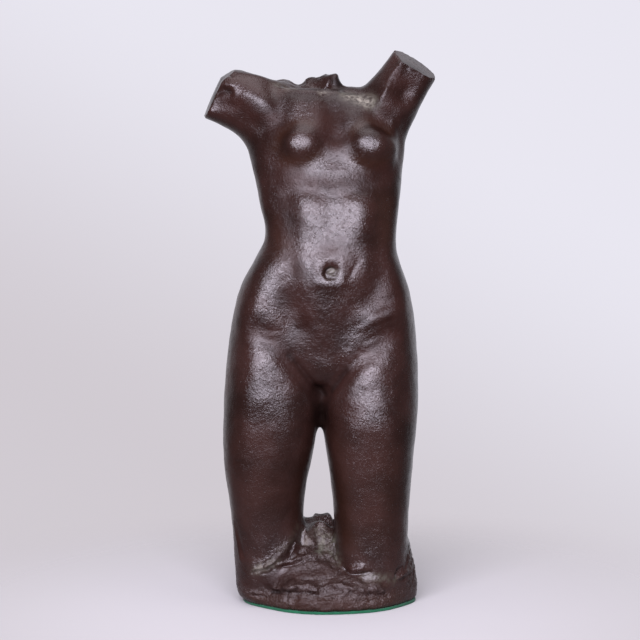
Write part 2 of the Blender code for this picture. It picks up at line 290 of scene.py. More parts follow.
def chip_noise(places: np.ndarray, chosen: np.ndarray, size: float, start: float) -> np.ndarray:
    """Reads a field of tilted flat chips, as clay broken off in lumps.

    Args:
        places: points in millimetres.
        chosen: which of them are read; the others get nought.
        size: width of a chip.
        start: moves the field, so that each use has its own.

    Returns:
        One value for each point, about -1 to 1, level within a chip but for its tilt.
    """
    values = np.zeros(len(places))
    for index in np.nonzero(chosen)[0]:
        place = Vector(places[index]) / size + Vector((start, -start, start * 0.5))
        middle = noise.voronoi(place)[1][0]
        away = place - middle
        tilt = Vector(noise.noise(middle * 1.3 + Vector((step, 2.0 * step, 0.5))) for step in TILT_STEPS)
        values[index] = noise.noise(middle * 1.9) * 1.2 + away.dot(tilt) * 1.6
    return values


def deselect_all() -> None:
    """Leaves every object unselected."""
    for item in bpy.context.view_layer.objects:
        item.select_set(False)


def take_up(item: bpy.types.Object) -> None:
    """Makes an object the only selected and the active one.

    Args:
        item: the object to work on.
    """
    deselect_all()
    item.select_set(True)
    bpy.context.view_layer.objects.active = item


def copy_node(node: str, name: str) -> bpy.types.Object:
    """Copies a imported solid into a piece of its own, with its corners merged.

    Args:
        node: the solid's node.
        name: the piece's name.

    Returns:
        The copy.
    """
    item = bpy.data.objects.new(name, frame["nodes"][node].data.copy())
    bpy.context.scene.collection.objects.link(item)
    take_up(item)
    bpy.ops.object.mode_set(mode="EDIT")
    bpy.ops.mesh.select_all(action="SELECT")
    bpy.ops.mesh.remove_doubles(threshold=MERGE_DISTANCE)
    bpy.ops.object.mode_set(mode="OBJECT")
    return item


@dataclass
class Skin:
    """The surface of a piece, read and moved in millimetres."""

    item: bpy.types.Object

    def read(self, what: str) -> np.ndarray:
        """Reads one property of every corner.

        Args:
            what: the property, of three numbers.

        Returns:
            A row for each corner.
        """
        values = np.empty(len(self.item.data.vertices) * 3, np.float32)
        self.item.data.vertices.foreach_get(what, values)
        return values.reshape(-1, 3).astype(float)

    def places(self) -> np.ndarray:
        """Reads every corner's place."""
        return self.read("co") / MILLIMETRE

    def outward(self) -> np.ndarray:
        """Reads every corner's outward direction."""
        return self.read("normal")

    def put(self, places: np.ndarray) -> None:
        """Moves every corner.

        Args:
            places: the new places in millimetres.
        """
        self.item.data.vertices.foreach_set("co", (places * MILLIMETRE).astype(np.float32).ravel())
        self.item.data.update()

    def select(self, chosen: np.ndarray) -> None:
        """Selects the faces whose corners are all chosen, and stays in edit mode.

        Args:
            chosen: True for each chosen corner.
        """
        take_up(self.item)
        bpy.ops.object.mode_set(mode="EDIT")
        bpy.ops.mesh.select_mode(type="FACE")
        bpy.ops.mesh.select_all(action="DESELECT")
        bpy.ops.object.mode_set(mode="OBJECT")
        faces = self.item.data.polygons
        faces.foreach_set("select", [all(chosen[corner] for corner in face.vertices) for face in faces])
        bpy.ops.object.mode_set(mode="EDIT")

    def edge_ends(self) -> np.ndarray:
        """Reads the two corners that each edge joins."""
        ends = np.empty(len(self.item.data.edges) * 2, np.int32)
        self.item.data.edges.foreach_get("vertices", ends)
        return ends.reshape(-1, 2)

    def neighbour_mean(self, values: np.ndarray, ends: np.ndarray) -> np.ndarray:
        """Averages the values of each corner's neighbours.

        Args:
            values: one for each corner.
            ends: the corners that the edges join.

        Returns:
            The mean round each corner.
        """
        total = np.bincount(ends[:, 0], values[ends[:, 1]], len(values))
        total += np.bincount(ends[:, 1], values[ends[:, 0]], len(values))
        return total / np.bincount(ends.ravel(), minlength=len(values)).clip(1)

    def bulge(self) -> np.ndarray:
        """Measures how far each corner stands out from its neighbours.

        Returns:
            Millimetres, above zero on a ridge and below zero in a hollow.
        """
        places, ends = self.places(), self.edge_ends()
        middles = np.stack([self.neighbour_mean(places[:, axis], ends) for axis in range(3)], axis=1)
        return np.einsum("ij,ij->i", places - middles, self.outward())

    def spread(self, values: np.ndarray, rounds: int) -> np.ndarray:
        """Evens out values over neighbouring corners.

        Args:
            values: one for each corner.
            rounds: how often each corner takes half of its neighbours' mean.

        Returns:
            The evened values.
        """
        ends = self.edge_ends()
        for _ in range(rounds):
            values = 0.5 * values + 0.5 * self.neighbour_mean(values, ends)
        return values


@dataclass(frozen=True)
class NodePen:
    """Adds nodes to one tree and joins them."""

    tree: bpy.types.NodeTree

    def add(self, kind: str, **settings: object) -> bpy.types.Node:
        """Adds a node.

        Args:
            kind: the node's type.
            settings: values of its properties.

        Returns:
            The new node.
        """
        node = self.tree.nodes.new(kind)
        for name, value in settings.items():
            setattr(node, name, value)
        return node

    def join(self, source: object, target: object) -> None:
        """Links an output socket to an input socket.

        Args:
            source: the output.
            target: the input.
        """
        self.tree.links.new(source, target)

    def feed(self, target: object, value: object) -> None:
        """Gives an input a constant or a link.

        Args:
            target: the input socket.
            value: an output socket, or the constant.
        """
        if isinstance(value, bpy.types.NodeSocket):
            self.join(value, target)
        else:
            target.default_value = value

    def math(self, operation: str, first: object, second: object = 0.0, clamp: bool = False) -> object:
        """Adds a sum on two values.

        Args:
            operation: the Math node's operation.
            first: a socket or a number.
            second: a socket or a number.
            clamp: whether the result is held between nought and one.

        Returns:
            The result's socket.
        """
        node = self.add("ShaderNodeMath", operation=operation, use_clamp=clamp)
        self.feed(node.inputs[0], first)
        self.feed(node.inputs[1], second)
        return node.outputs[0]

    def plus(self, total: object, value: object, times: float) -> object:
        """Adds a multiple of one value to another.

        Args:
            total: a socket or a number.
            value: the socket that is multiplied.
            times: how much of it is added.

        Returns:
            The result's socket.
        """
        return self.math("ADD", total, self.math("MULTIPLY", value, times))

    def slope(self, value: object, low: float, high: float, start: float = 0.0, end: float = 1.0) -> object:
        """Spreads a range of values over another, held at both ends.

        Args:
            value: a socket.
            low: value that gives start.
            high: value that gives end.
            start: first result.
            end: last result.

        Returns:
            The result's socket.
        """
        node = self.add("ShaderNodeMapRange", interpolation_type="SMOOTHSTEP")
        self.feed(node.inputs["Value"], value)
        for name, number in (("From Min", low), ("From Max", high), ("To Min", start), ("To Max", end)):
            node.inputs[name].default_value = number
        return node.outputs["Result"]

    def blend(self, share: object, first: object, second: object, mode: str = "MIX") -> object:
        """Mixes two colours.

        Args:
            share: how much of the second shows.
            first: a socket or a colour.
            second: a socket or a colour.
            mode: the Mix node's blend type.

        Returns:
            The mixed colour's socket.
        """
        node = self.add("ShaderNodeMix", data_type="RGBA", blend_type=mode)
        self.feed(node.inputs[0], share)
        for place, colour in ((6, first), (7, second)):
            if isinstance(colour, tuple):
                colour = (*colour, 1.0)
            self.feed(node.inputs[place], colour)
        return node.outputs[2]

    def noise(self, vector: object, scale: float, detail: float, rough: float = 0.5) -> object:
        """Adds a noise texture.

        Args:
            vector: where it is read.
            scale: how fine it is, per metre.
            detail: how many finer layers it has.
            rough: how strong those layers are.

        Returns:
            The value's socket.
        """
        node = self.add("ShaderNodeTexNoise")
        self.join(vector, node.inputs["Vector"])
        node.inputs["Scale"].default_value = scale
        node.inputs["Detail"].default_value = detail
        node.inputs["Roughness"].default_value = rough
        return node.outputs["Fac"]

    def place(self, group: bpy.types.NodeTree, where: object, scale: float) -> bpy.types.Node:
        """Places a shared group.

        Args:
            group: the node group, with Vector and Scale among its inputs.
            where: the coordinates it reads.
            scale: how fine it is, per metre.

        Returns:
            The group's node.
        """
        node = self.add("ShaderNodeGroup", node_tree=group)
        self.join(where, node.inputs["Vector"])
        node.inputs["Scale"].default_value = scale
        return node

    def pits(self, group: bpy.types.NodeTree, where: object, scale: float, share: float) -> object:
        """Places the pitting group.

        Args:
            group: the pitting group.
            where: the coordinates it reads.
            scale: how fine it is, per metre.
            share: how many of its cells hold a pit.

        Returns:
            The socket with the pits' depth.
        """
        node = self.place(group, where, scale)
        node.inputs["Share"].default_value = share
        return node.outputs["Pits"]

    def emboss(self, shader: bpy.types.Node, height: object, strength: object, distance: float) -> None:
        """Turns a height into the shader's normal.

        Args:
            shader: takes the normal.
            height: the height's socket.
            strength: how strong the bumps are, as a socket or a number.
            distance: metres for a height of one.
        """
        bump = self.add("ShaderNodeBump")
        self.feed(bump.inputs["Strength"], strength)
        bump.inputs["Distance"].default_value = distance
        self.join(height, bump.inputs["Height"])
        self.join(bump.outputs["Normal"], shader.inputs["Normal"])


def new_group(
    name: str, numbers: dict[str, float], results: tuple[str, ...]
) -> tuple[bpy.types.NodeTree, NodePen, bpy.types.Node, bpy.types.Node]:
    """Starts a node group that reads a Vector and some numbers.

    Args:
        name: the group's name.
        numbers: the names and first values of its number inputs.
        results: the names of the values that it puts out.

    Returns:
        The group, a pen for its nodes, its inlet and its outlet.
    """
    group = bpy.data.node_groups.new(name, "ShaderNodeTree")
    group.interface.new_socket(name="Vector", in_out="INPUT", socket_type="NodeSocketVector")
    for label, value in numbers.items():
        socket = group.interface.new_socket(name=label, in_out="INPUT", socket_type="NodeSocketFloat")
        socket.default_value = value
    for label in results:
        group.interface.new_socket(name=label, in_out="OUTPUT", socket_type="NodeSocketFloat")
    pen = NodePen(group)
    return group, pen, pen.add("NodeGroupInput"), pen.add("NodeGroupOutput")


def pitting_group() -> bpy.types.NodeTree:
    """Makes the group that scatters small pits, for the cast skin and for the felt's nap.

    Returns:
        A group that takes Vector, Scale and Share and gives Pits, one in a pit's middle.
    """
    group, pen, inlet, outlet = new_group("pitting", {"Scale": 900.0, "Share": 0.3}, ("Pits",))
    cells = pen.add("ShaderNodeTexVoronoi", feature="F1")
    cells.inputs["Randomness"].default_value = 1.0
    pen.join(inlet.outputs["Vector"], cells.inputs["Vector"])
    pen.join(inlet.outputs["Scale"], cells.inputs["Scale"])
    depth = pen.slope(cells.outputs["Distance"], 0.12, 0.42, 1.0, 0.0)
    pick = pen.add("ShaderNodeSeparateColor")
    pen.join(cells.outputs["Color"], pick.inputs["Color"])
    there = pen.math("LESS_THAN", pick.outputs["Red"], inlet.outputs["Share"])
    size = pen.math("MULTIPLY", there, pick.outputs["Green"])
    pen.join(pen.math("MULTIPLY", depth, size), outlet.inputs["Pits"])
    return group


def mottle_group() -> bpy.types.NodeTree:
    """Makes the group that gives soft clouds of tone, for the bronze and the felt.

    Returns:
        A group that takes Vector and Scale and gives Cloud and Fleck, both from nought to one.
    """
    group, pen, inlet, outlet = new_group("mottle", {"Scale": 40.0}, ("Cloud", "Fleck"))
    for name, times, low, high in (("Cloud", 1.0, 0.34, 0.66), ("Fleck", 11.0, 0.5, 0.72)):
        field_node = pen.add("ShaderNodeTexNoise")
        pen.join(inlet.outputs["Vector"], field_node.inputs["Vector"])
        pen.join(pen.math("MULTIPLY", inlet.outputs["Scale"], times), field_node.inputs["Scale"])
        field_node.inputs["Detail"].default_value = 5.0
        pen.join(pen.slope(field_node.outputs["Fac"], low, high), outlet.inputs[name])
    return group


def crumple_group() -> bpy.types.NodeTree:
    """Makes the group that gives a crumpled skin of short creases, for the bronze.

    Returns:
        A group that takes Vector and Scale and gives Creases, nought in a crease and one between them.
    """
    group, pen, inlet, outlet = new_group("crumple", {"Scale": 400.0}, ("Creases",))
    waves = pen.add("ShaderNodeTexNoise")
    pen.join(inlet.outputs["Vector"], waves.inputs["Vector"])
    pen.join(inlet.outputs["Scale"], waves.inputs["Scale"])
    waves.inputs["Detail"].default_value = 3.0
    waves.inputs["Roughness"].default_value = 0.6
    waves.inputs["Distortion"].default_value = 0.8
    away = pen.math("ABSOLUTE", pen.math("SUBTRACT", waves.outputs["Fac"], 0.5))
    pen.join(pen.slope(away, 0.0, 0.13), outlet.inputs["Creases"])
    return group


@dataclass(frozen=True)
class SharedGroups:
    """The node groups that the finishes use."""

    pitting: bpy.types.NodeTree
    mottle: bpy.types.NodeTree
    crumple: bpy.types.NodeTree

    @staticmethod
    def make() -> "SharedGroups":
        """Builds each group once."""
        return SharedGroups(pitting_group(), mottle_group(), crumple_group())


def new_finish(name: str) -> tuple[bpy.types.Material, NodePen, bpy.types.Node, object]:
    """Starts a material.

    Args:
        name: the material's name.

    Returns:
        The material, a pen for its nodes, its Principled shader and its Object coordinates.
    """
    material = bpy.data.materials.new(name)
    material.use_nodes = True
    pen = NodePen(material.node_tree)
    shader = material.node_tree.nodes["Principled BSDF"]
    where = pen.add("ShaderNodeTexCoord").outputs["Object"]
    return material, pen, shader, where


@dataclass(frozen=True)
class Masks:
    """Where the rock, the ridges and the stains are, and the hollows and folds that are darkened as painted
    shade, as sockets that read the casting's attributes.
    """

    rock: object
    hollow: object
    # the hollows, which are darkened as painted shade
    ridge: object
    worn: object
    verdigris: object
    dust: object
    warmth: object
    # the painted shade in the folds, the fork and the navel's moat
    painted_shade: object

    @staticmethod
    def read(pen: NodePen) -> "Masks":
        """Reads both colour attributes.

        Args:
            pen: adds the nodes.

        Returns:
            The masks.
        """
        sockets = []
        for name in ("shape", "stains"):
            held = pen.add("ShaderNodeAttribute", attribute_name=name)
            parts = pen.add("ShaderNodeSeparateColor")
            pen.join(held.outputs["Color"], parts.inputs["Color"])
            sockets += [parts.outputs[part] for part in ("Red", "Green", "Blue")]
            sockets.append(held.outputs["Alpha"])
        return Masks(*sockets)


@dataclass(frozen=True)
class PatinaFinish:
    """Dark brown waxed patina over cast bronze, with its pits, rubbed places, verdigris and dust, and
    painted shade darkening its hollows, folds and fork.
    """

    dark: Colour = (0.0125, 0.0047, 0.0034)
    light: Colour = (0.0285, 0.0118, 0.0094)
    warm: Colour = (0.036, 0.0145, 0.0085)
    rock: Colour = (0.03, 0.0155, 0.013)
    scuffed: Colour = (0.09, 0.068, 0.06)
    # near-black painted shade for the folds, the fork and the navel's moat
    painted_shade: Colour = (0.003, 0.0022, 0.0018)
    verdigris: Colour = (0.07, 0.068, 0.048)
    dust: Colour = (0.27, 0.245, 0.2)
    metallic: float = 0.05
    roughness: float = 0.3
    specular: float = 0.5
    worn_specular: float = 0.22
    cloud_scale: float = 28.0
    fleck_scale: float = 210.0
    pit_scale: float = 620.0
    small_pit_scale: float = 1500.0

    def build(self, groups: SharedGroups) -> bpy.types.Material:
        """Makes the material.

        Args:
            groups: the shared node groups.

        Returns:
            The bronze material.
        """
        material, pen, shader, where = new_finish("bronze_patina")
        masks = Masks.read(pen)
        cloud = pen.place(groups.mottle, where, self.cloud_scale)
        fine = pen.place(groups.mottle, where, self.fleck_scale)
        pits = pen.pits(groups.pitting, where, self.pit_scale, 0.16)
        scuffs = pen.math("MULTIPLY", masks.rock, pen.slope(pen.noise(where, 430.0, 5.0, 0.7), 0.5, 0.68))
        broken = pen.slope(pen.noise(where, 260.0, 6.0, 0.65), 0.4, 0.62)
        green = pen.math("MULTIPLY", masks.verdigris, pen.math("ADD", broken, 0.25), clamp=True)
        pale = pen.math("MULTIPLY", masks.dust, pen.math("ADD", broken, 0.1), clamp=True)
        colour = pen.blend(cloud.outputs["Cloud"], self.dark, self.light)
        for mask, amount, tone in (
            (fine.outputs["Fleck"], 0.45, self.light),
            (masks.rock, 0.75, self.rock),
            (scuffs, 0.42, self.scuffed),
            (masks.warmth, 0.8, self.warm),
            (masks.ridge, 0.35, self.rock),
            # painted shade: every hollow is darkened toward the dark tone
            (masks.hollow, 0.7, self.dark),
            (green, 1.0, self.verdigris),
            (pale, 1.0, self.dust),
            (pits, 0.8, self.dark),
            # painted shade: near black in the fork, the folds and the navel's moat
            (masks.painted_shade, 1.0, self.painted_shade),
        ):
            colour = pen.blend(pen.math("MULTIPLY", mask, amount), colour, tone)
        pen.join(colour, shader.inputs["Base Color"])
        dull = pen.plus(pen.math("MULTIPLY", green, 0.3), pale, 0.4)
        rough = pen.slope(cloud.outputs["Fleck"], 0.0, 1.0, self.roughness - 0.04, self.roughness + 0.1)
        for mask, amount in ((masks.rock, -0.03), (pits, 0.25), (masks.painted_shade, 0.4), (masks.worn, 0.08)):
            rough = pen.plus(rough, mask, amount)
        pen.join(pen.math("ADD", rough, dull, clamp=True), shader.inputs["Roughness"])
        pen.join(pen.math("SUBTRACT", self.metallic, dull, clamp=True), shader.inputs["Metallic"])
        shine = pen.slope(masks.worn, 0.0, 1.0, self.specular, self.specular * self.worn_specular)
        # the painted shade also takes away most of the shine there
        bare = pen.math("SUBTRACT", 1.0, pen.math("MULTIPLY", masks.painted_shade, 0.85), clamp=True)
        pen.join(pen.math("MULTIPLY", shine, bare), shader.inputs["Specular IOR Level"])
        self.relief(pen, shader, where, groups, masks)
        return material

    def relief(
        self, pen: NodePen, shader: bpy.types.Node, where: object, groups: SharedGroups, masks: Masks
    ) -> None:
        """Builds the fine bumps from the coarse to the fine, in metres.

        Args:
            pen: adds the nodes.
            shader: takes the normal.
            where: the coordinates.
            groups: the shared node groups.
            masks: where the rock and the worn places are.
        """
        broken = pen.math("MULTIPLY", pen.noise(where, 500.0, 5.0, 0.62), masks.rock)
        height = pen.math("MULTIPLY", pen.noise(where, 300.0, 2.0, 0.5), 0.0002)
        for value, amount in (
            (pen.noise(where, 700.0, 3.0, 0.6), 0.00028),
            (pen.place(groups.crumple, where, 330.0).outputs["Creases"], 0.00005),
            (pen.pits(groups.pitting, where, self.pit_scale, 0.14), -0.00016),
            (pen.pits(groups.pitting, where, self.small_pit_scale, 0.3), -0.00007),
            (broken, 0.0011),
        ):
            height = pen.plus(height, value, amount)
        turned = pen.slope(pen.add("ShaderNodeLayerWeight").outputs["Facing"], 0.3, 0.82, 1.0, 0.1)
        strength = pen.math("MULTIPLY", turned, pen.slope(masks.worn, 0.0, 1.0, 1.0, 0.85))
        pen.emboss(shader, height, strength, 1.0)


@dataclass(frozen=True)
class FeltFinish:
    """Green wool felt: matt, with a nap and paler fibres."""

    deep: Colour = (0.001, 0.055, 0.023)
    pale: Colour = (0.004, 0.12, 0.05)
    roughness: float = 0.95
    sheen: float = 0.08

    def build(self, groups: SharedGroups) -> bpy.types.Material:
        """Makes the material.

        Args:
            groups: the shared node groups.

        Returns:
            The felt material.
        """
        material, pen, shader, where = new_finish("green_felt")
        cloud = pen.place(groups.mottle, where, 120.0).outputs["Cloud"]
        fibre = pen.noise(where, 2600.0, 5.0, 0.7)
        tone = pen.plus(pen.math("MULTIPLY", cloud, 0.4), fibre, 0.7)
        pen.join(pen.blend(tone, self.deep, self.pale), shader.inputs["Base Color"])
        shader.inputs["Roughness"].default_value = self.roughness
        shader.inputs["Sheen Weight"].default_value = self.sheen
        holes = pen.pits(groups.pitting, where, 1800.0, 0.6)
        pen.emboss(shader, pen.plus(fibre, holes, -0.6), 0.7, 0.0004)
        return material


FRONT_STROKES = (
    # The creases beside the navel and the lip under it
    Stroke(3.4, 0.5, ((-8, 258), (-3, 256.5), (4, 256), (11, 258))),
    Stroke(1.2, -0.6, ((14, 261), (17, 264), (20, 270), (22, 274))),
    Stroke(1.0, -0.7, ((-17.5, 279), (-15, 276), (-14, 273))),
    # The soft band under the ribs and the swells below it
    Stroke(6.0, -0.3, ((-28, 332), (-12, 330), (2, 329), (18, 330), (31, 333))),
    Stroke(8.0, 0.5, ((-18, 319), (-16, 311))),
    Stroke(9.0, 0.6, ((25, 318), (24, 306))),
    # Folds of the left hip
    Stroke(2.6, 0.4, ((24, 222), (33, 227), (41, 231.5))),
    Stroke(1.5, -0.35, ((30, 214), (39, 219), (46, 223))),
    Stroke(1.6, -0.35, ((34, 236), (43, 240), (49, 247))),
    Stroke(1.2, -0.3, ((27, 229), (34, 233), (38, 237))),
    Stroke(1.5, 0.3, ((28, 208), (37, 213))),
    # The soft lines of the groin and the crease below
    Stroke(7.0, -0.5, ((-31, 197), (-22, 185), (-13, 176))),
    Stroke(7.0, -0.5, ((23, 200), (13, 189), (4, 179))),
    Stroke(2.6, -1.2, ((-6, 172), (-5.5, 162), (-4.5, 150))),
    Stroke(1.2, -0.4, ((22, 218), (30, 220), (40, 226), (50, 231))),
    Stroke(1.0, -0.35, ((27, 212), (36, 216), (46, 219))),
    Stroke(1.4, -0.4, ((-56, 225), (-47, 221), (-40, 221))),
    Stroke(2.2, -0.8, ((-31, 202), (-22, 192), (-11, 177), (-4, 170))),
    Stroke(1.8, -0.8, ((-24, 195), (-11, 177), (-4, 169))),
    Stroke(2.2, -0.6, ((21, 197.6), (10, 184.6), (1.6, 171.8))),
    Stroke(1.8, -0.7, ((13, 188), (3, 174), (-3, 168))),
    # The sternum, sunk between the breasts, and the side of the ribs turned away
    Stroke(9.0, -2.4, ((6, 374), (4, 390), (0, 404))),
    Stroke(9.0, -1.6, ((-45, 345), (-44, 315), (-44, 285))),
    # The pit on the left breast
    Stroke(0.9, -0.9, ((36, 366.4),)),
    # The furrow from the neck to the chest and the folds of the armpits
    Stroke(4.5, -0.7, ((-43, 404), (-39, 394), (-38, 382))),
    Stroke(1.6, -0.5, ((53, 386), (55, 372), (55, 356))),
    # Scars in the skin of the thighs
    Stroke(0.8, -0.5, ((33, 67.2), (39, 66.8), (46, 66.4))),
    Stroke(0.9, -0.4, ((-73, 118), (-66, 117), (-60, 115.5))),
    Stroke(0.9, 0.4, ((-70, 122), (-64, 121))),
    Stroke(1.0, -0.4, ((-66, 88), (-60, 86))),
    Stroke(1.0, -0.4, ((-52, 214), (-46, 212), (-41, 214))),
    Stroke(0.9, -0.4, ((28, 158), (33, 156))),
    # The mound: its crack, the ledge under the left facet and the pale rib beside the crack
    Stroke(1.4, -1.9, ((-13, 66), (-11, 60), (-9.6, 54), (-8, 51), (-9, 46.5))),
    Stroke(1.5, -1.4, ((-23, 43.5), (-18, 44.5), (-12.5, 46.5))),
    Stroke(1.3, 0.9, ((-3, 54), (-5, 48), (-7, 43))),
    Stroke(1.4, -0.9, ((-1, 51), (1, 45), (6, 39))),
    Stroke(1.3, 0.8, ((4, 44), (6, 38.5))),
    # The crumpled clay along the right thigh
    Stroke(3.6, 1.1, ((-57, 33), (-48, 36), (-40, 43), (-33, 50), (-28, 59))),
    Stroke(1.1, -1.0, ((-60, 29), (-54, 31), (-48, 32), (-43, 36))),
    Stroke(1.0, -0.9, ((-57, 35), (-52, 35.5), (-46, 39.5), (-40, 45.5))),
    Stroke(0.9, 0.8, ((-58, 32), (-52, 33.5), (-46, 35.5), (-42, 40))),
    Stroke(1.0, -0.8, ((-52, 28.5), (-46, 29.5), (-42, 33))),
    # The smooth hollow, its scalloped edge and the bright ridge under it
    Stroke(6.0, -1.5, ((-30, 31), (-18, 34), (-4, 34))),
    Stroke(1.2, 1.3, ((-40, 35.5), (-32, 37.5), (-23, 39.5), (-16, 42), (-7, 41.5), (0, 41), (5, 36.5))),
    Stroke(1.0, -1.0, ((-36, 34), (-30, 35), (-22, 37), (-15, 39.2), (-7, 39), (0, 38), (4, 34.5))),
    Stroke(2.0, 2.6, ((-34, 19.5), (-26, 20.5), (-16, 22), (-11, 19.6), (-4, 19), (3, 21.5), (10, 22))),
    Stroke(1.4, 1.0, ((-42, 17.5), (-33, 19.4), (-26, 20.5))),
    Stroke(1.3, 1.2, ((13, 21), (20, 19.5), (27, 18))),
    Stroke(1.6, -1.5, ((-44, 14.5), (-33, 15.5), (-18, 17), (-10, 15), (0, 15.5), (10, 17.5))),
    Stroke(1.3, -1.0, ((-20, 26), (-8, 25.5), (3, 27), (10, 30))),
    # Lumps by the left thigh
    Stroke(2.8, 2.2, ((19, 32.5), (26, 34))),
    Stroke(1.2, -1.4, ((13, 32), (17, 29), (26, 29.5), (33, 31))),
    Stroke(2.6, 1.6, ((55, 26), (62, 27.5))),
    Stroke(1.1, -1.0, ((50, 24), (58, 22.5), (65, 24))),
    Stroke(2.6, 1.0, ((37, 18), (42, 16.5))),
    Stroke(1.2, -1.0, ((30, 15), (37, 13.5), (45, 13.5))),
    # The slabs of the foot
    Stroke(1.1, -1.0, ((-62, 10), (-50, 9.4), (-42, 10.6), (-32, 11.6))),
    Stroke(1.1, -1.1, ((-32, 12), (-20, 11.6), (-8, 12.4), (4, 12.4))),
    Stroke(1.1, -0.9, ((24, 10.5), (34, 10.2), (47, 11))),
    Stroke(1.1, -0.6, ((-31, 3), (-33, 11))),
)

BACK_STROKES = (
    # The spine, the shoulder blades and the small of the back
    Stroke(3.6, -0.9, ((-13, 396), (-8, 372), (-3, 340), (1, 310), (0, 282), (-2, 258)), Side.BACK),
    Stroke(2.4, -0.6, ((-17, 384), (-19, 364), (-27, 348), (-38, 343)), Side.BACK),
    Stroke(2.4, -0.6, ((8, 386), (9, 366), (15, 350), (28, 345)), Side.BACK),
    Stroke(3.2, -0.8, ((-21, 251),), Side.BACK),
    Stroke(3.2, -0.8, ((17, 251),), Side.BACK),
    # The cleft and the folds under the buttocks
    Stroke(2.2, -2.2, ((-4, 226), (-5, 205), (-6, 184), (-6, 162)), Side.BACK),
    Stroke(2.4, -1.0, ((-16, 159), (-34, 152), (-54, 154)), Side.BACK),
    Stroke(2.4, -1.0, ((5, 159), (22, 153), (40, 155)), Side.BACK),
    # The rock behind the legs
    Stroke(1.8, -2.0, ((-40, 24), (-18, 34), (2, 28), (20, 36), (44, 22)), Side.BACK),
    Stroke(2.0, 2.0, ((-52, 18), (-26, 22), (0, 20), (28, 24), (50, 18)), Side.BACK),
    Stroke(1.4, -1.4, ((-54, 12), (-20, 13.5), (16, 12.5), (52, 12)), Side.BACK),
    Stroke(1.1, -1.2, ((-24, 2), (-25, 12)), Side.BACK),
    Stroke(1.1, -1.2, ((14, 2), (13, 12)), Side.BACK),
)

DABS = (
    # The facet left of the mound's crack, built up before it is pressed flat
    Dab(6.5, 2.6, ((-20, -12, 59), (-18.5, -13, 50))),
    # The broken end of the right arm: a lip, the recess under it and small chips
    Dab(1.7, 1.5, ((-91, -9, 407), (-87, -12, 411), (-82, -14, 412.5), (-77, -15, 411.5))),
    Dab(2.6, -2.0, ((-88, -12, 406), (-82, -14.5, 408), (-76, -15.5, 406.5))),
    # The undersides of the arms' fronts
    Dab(8.0, -2.2, ((-84, -13, 396), (-66, -16, 391), (-50, -20, 379))),
    Dab(7.0, -1.4, ((62, -15, 405), (52, -18, 395), (48, -20, 384))),
    Dab(7.0, 2.0, ((-69, -8, 414), (-54, -6, 413))),
    Dab(6.0, -1.5, ((-72, -15, 399), (-59, -18, 397), (-49, -22, 389))),
    # The dip where the right shoulder meets the neck
    Dab(8.0, -3.0, ((-57, 6, 421), (-48, 8, 419))),
    Dab(1.8, 0.9, ((-74.5, -16, 411), (-72.5, -17, 405), (-75, -17, 399))),
    Dab(2.4, -0.9, ((-80, -8, 420), (-75, -11, 419))),
    # The broken neck: the hollow behind the front lip, the notch between the lobes and the knob
    Dab(3.0, -1.6, ((-34, -6, 410), (-20, -9, 410), (-6, -9, 410))),
    Dab(1.6, 1.3, ((-38, -12, 408), (-24, -17, 406.5), (-8, -18, 406), (8, -12, 407))),
    Dab(2.4, -0.7, ((-27, 26, 418), (-27, 16, 417), (-26, 4, 413))),
    Dab(3.4, 1.0, ((-22, -9, 412), (-12, -8, 416), (-3, -5, 420))),
    Dab(2.0, -0.9, ((-26, -10, 411), (-25, 2, 415))),
    Dab(2.6, 1.2, ((5, -2, 418), (6, 6, 421))),
    Dab(2.0, -1.0, ((14, -6, 408), (24, -8, 407), (31, -12, 402))),
    # The ridge, the crisp upper line and the facet on the front of the left arm
    Dab(1.5, 1.2, ((57, -16, 429), (48, -18, 421), (47, -19, 412), (42, -20, 402))),
    Dab(1.2, 1.1, ((57, -16, 429), (66, -16, 425), (77, -14, 419))),
    Dab(1.3, -1.2, ((59, -16, 426), (62, -16.5, 425))),
    Dab(4.5, -0.9, ((60, -16, 420), (64, -16, 412), (58, -17, 406))),
    # The flange where the rock climbs the outside of the right thigh
    Dab(2.4, 0.7, ((-74, -18, 66), (-73, -20, 58), (-71, -22, 48), (-69, -24, 38))),
    Dab(2.0, -0.6, ((-70, -24, 62), (-69, -24, 52), (-67, -26, 42))),
)

# Places evened again before the strokes, where the depth is the share that is evened
EASES = (
    # The creases of the groin
    Dab(17, 1.0, ((-62, -26, 226), (-46, -38, 219), (-36, -40, 206), (-30, -39, 198))),
    Dab(17, 1.0, ((58, -26, 226), (40, -36, 216), (30, -40, 206))),
    # The dip under the ribs and the undersides of the breasts
    Dab(15, 1.0, ((-4, -38, 342), (10, -38, 342), (18, -38, 340))),
    Dab(8, 0.6, ((-34, -33, 354), (-21, -35, 351), (-8, -34, 355))),
    Dab(8, 0.6, ((18, -35, 355), (32, -35, 351), (45, -30, 356))),
    # The fronts of the arms
    Dab(12, 0.8, ((-66, -18, 396), (-50, -22, 386))),
    Dab(11, 0.8, ((56, -16, 402), (50, -22, 386))),
)

FLATS = (
    # The fronts of the breasts, which catch the light
    Flat((-25, -37.6, 366.5), (-0.12, -0.98, 0.15), 10, 0.25),
    Flat((-16, -38.2, 366.5), (0.0, -0.987, 0.14), 10, 0.25),
    Flat((27, -38.4, 365.5), (-0.08, -0.987, 0.14), 10, 0.25),
    Flat((36, -37.6, 365.5), (0.0, -0.98, 0.15), 10, 0.25),
    # Facets of the rock
    Flat((-19, -12.6, 54), (-0.14, -0.95, 0.27), 9.5),
    Flat((-4, -10, 54), (0.18, -0.92, 0.34), 8),
    Flat((2, -18, 45), (0.35, -0.86, 0.36), 7),
    Flat((-26, -27, 47), (-0.3, -0.8, 0.52), 6),
    Flat((57, -27, 27), (0.3, -0.85, 0.43), 7),
)

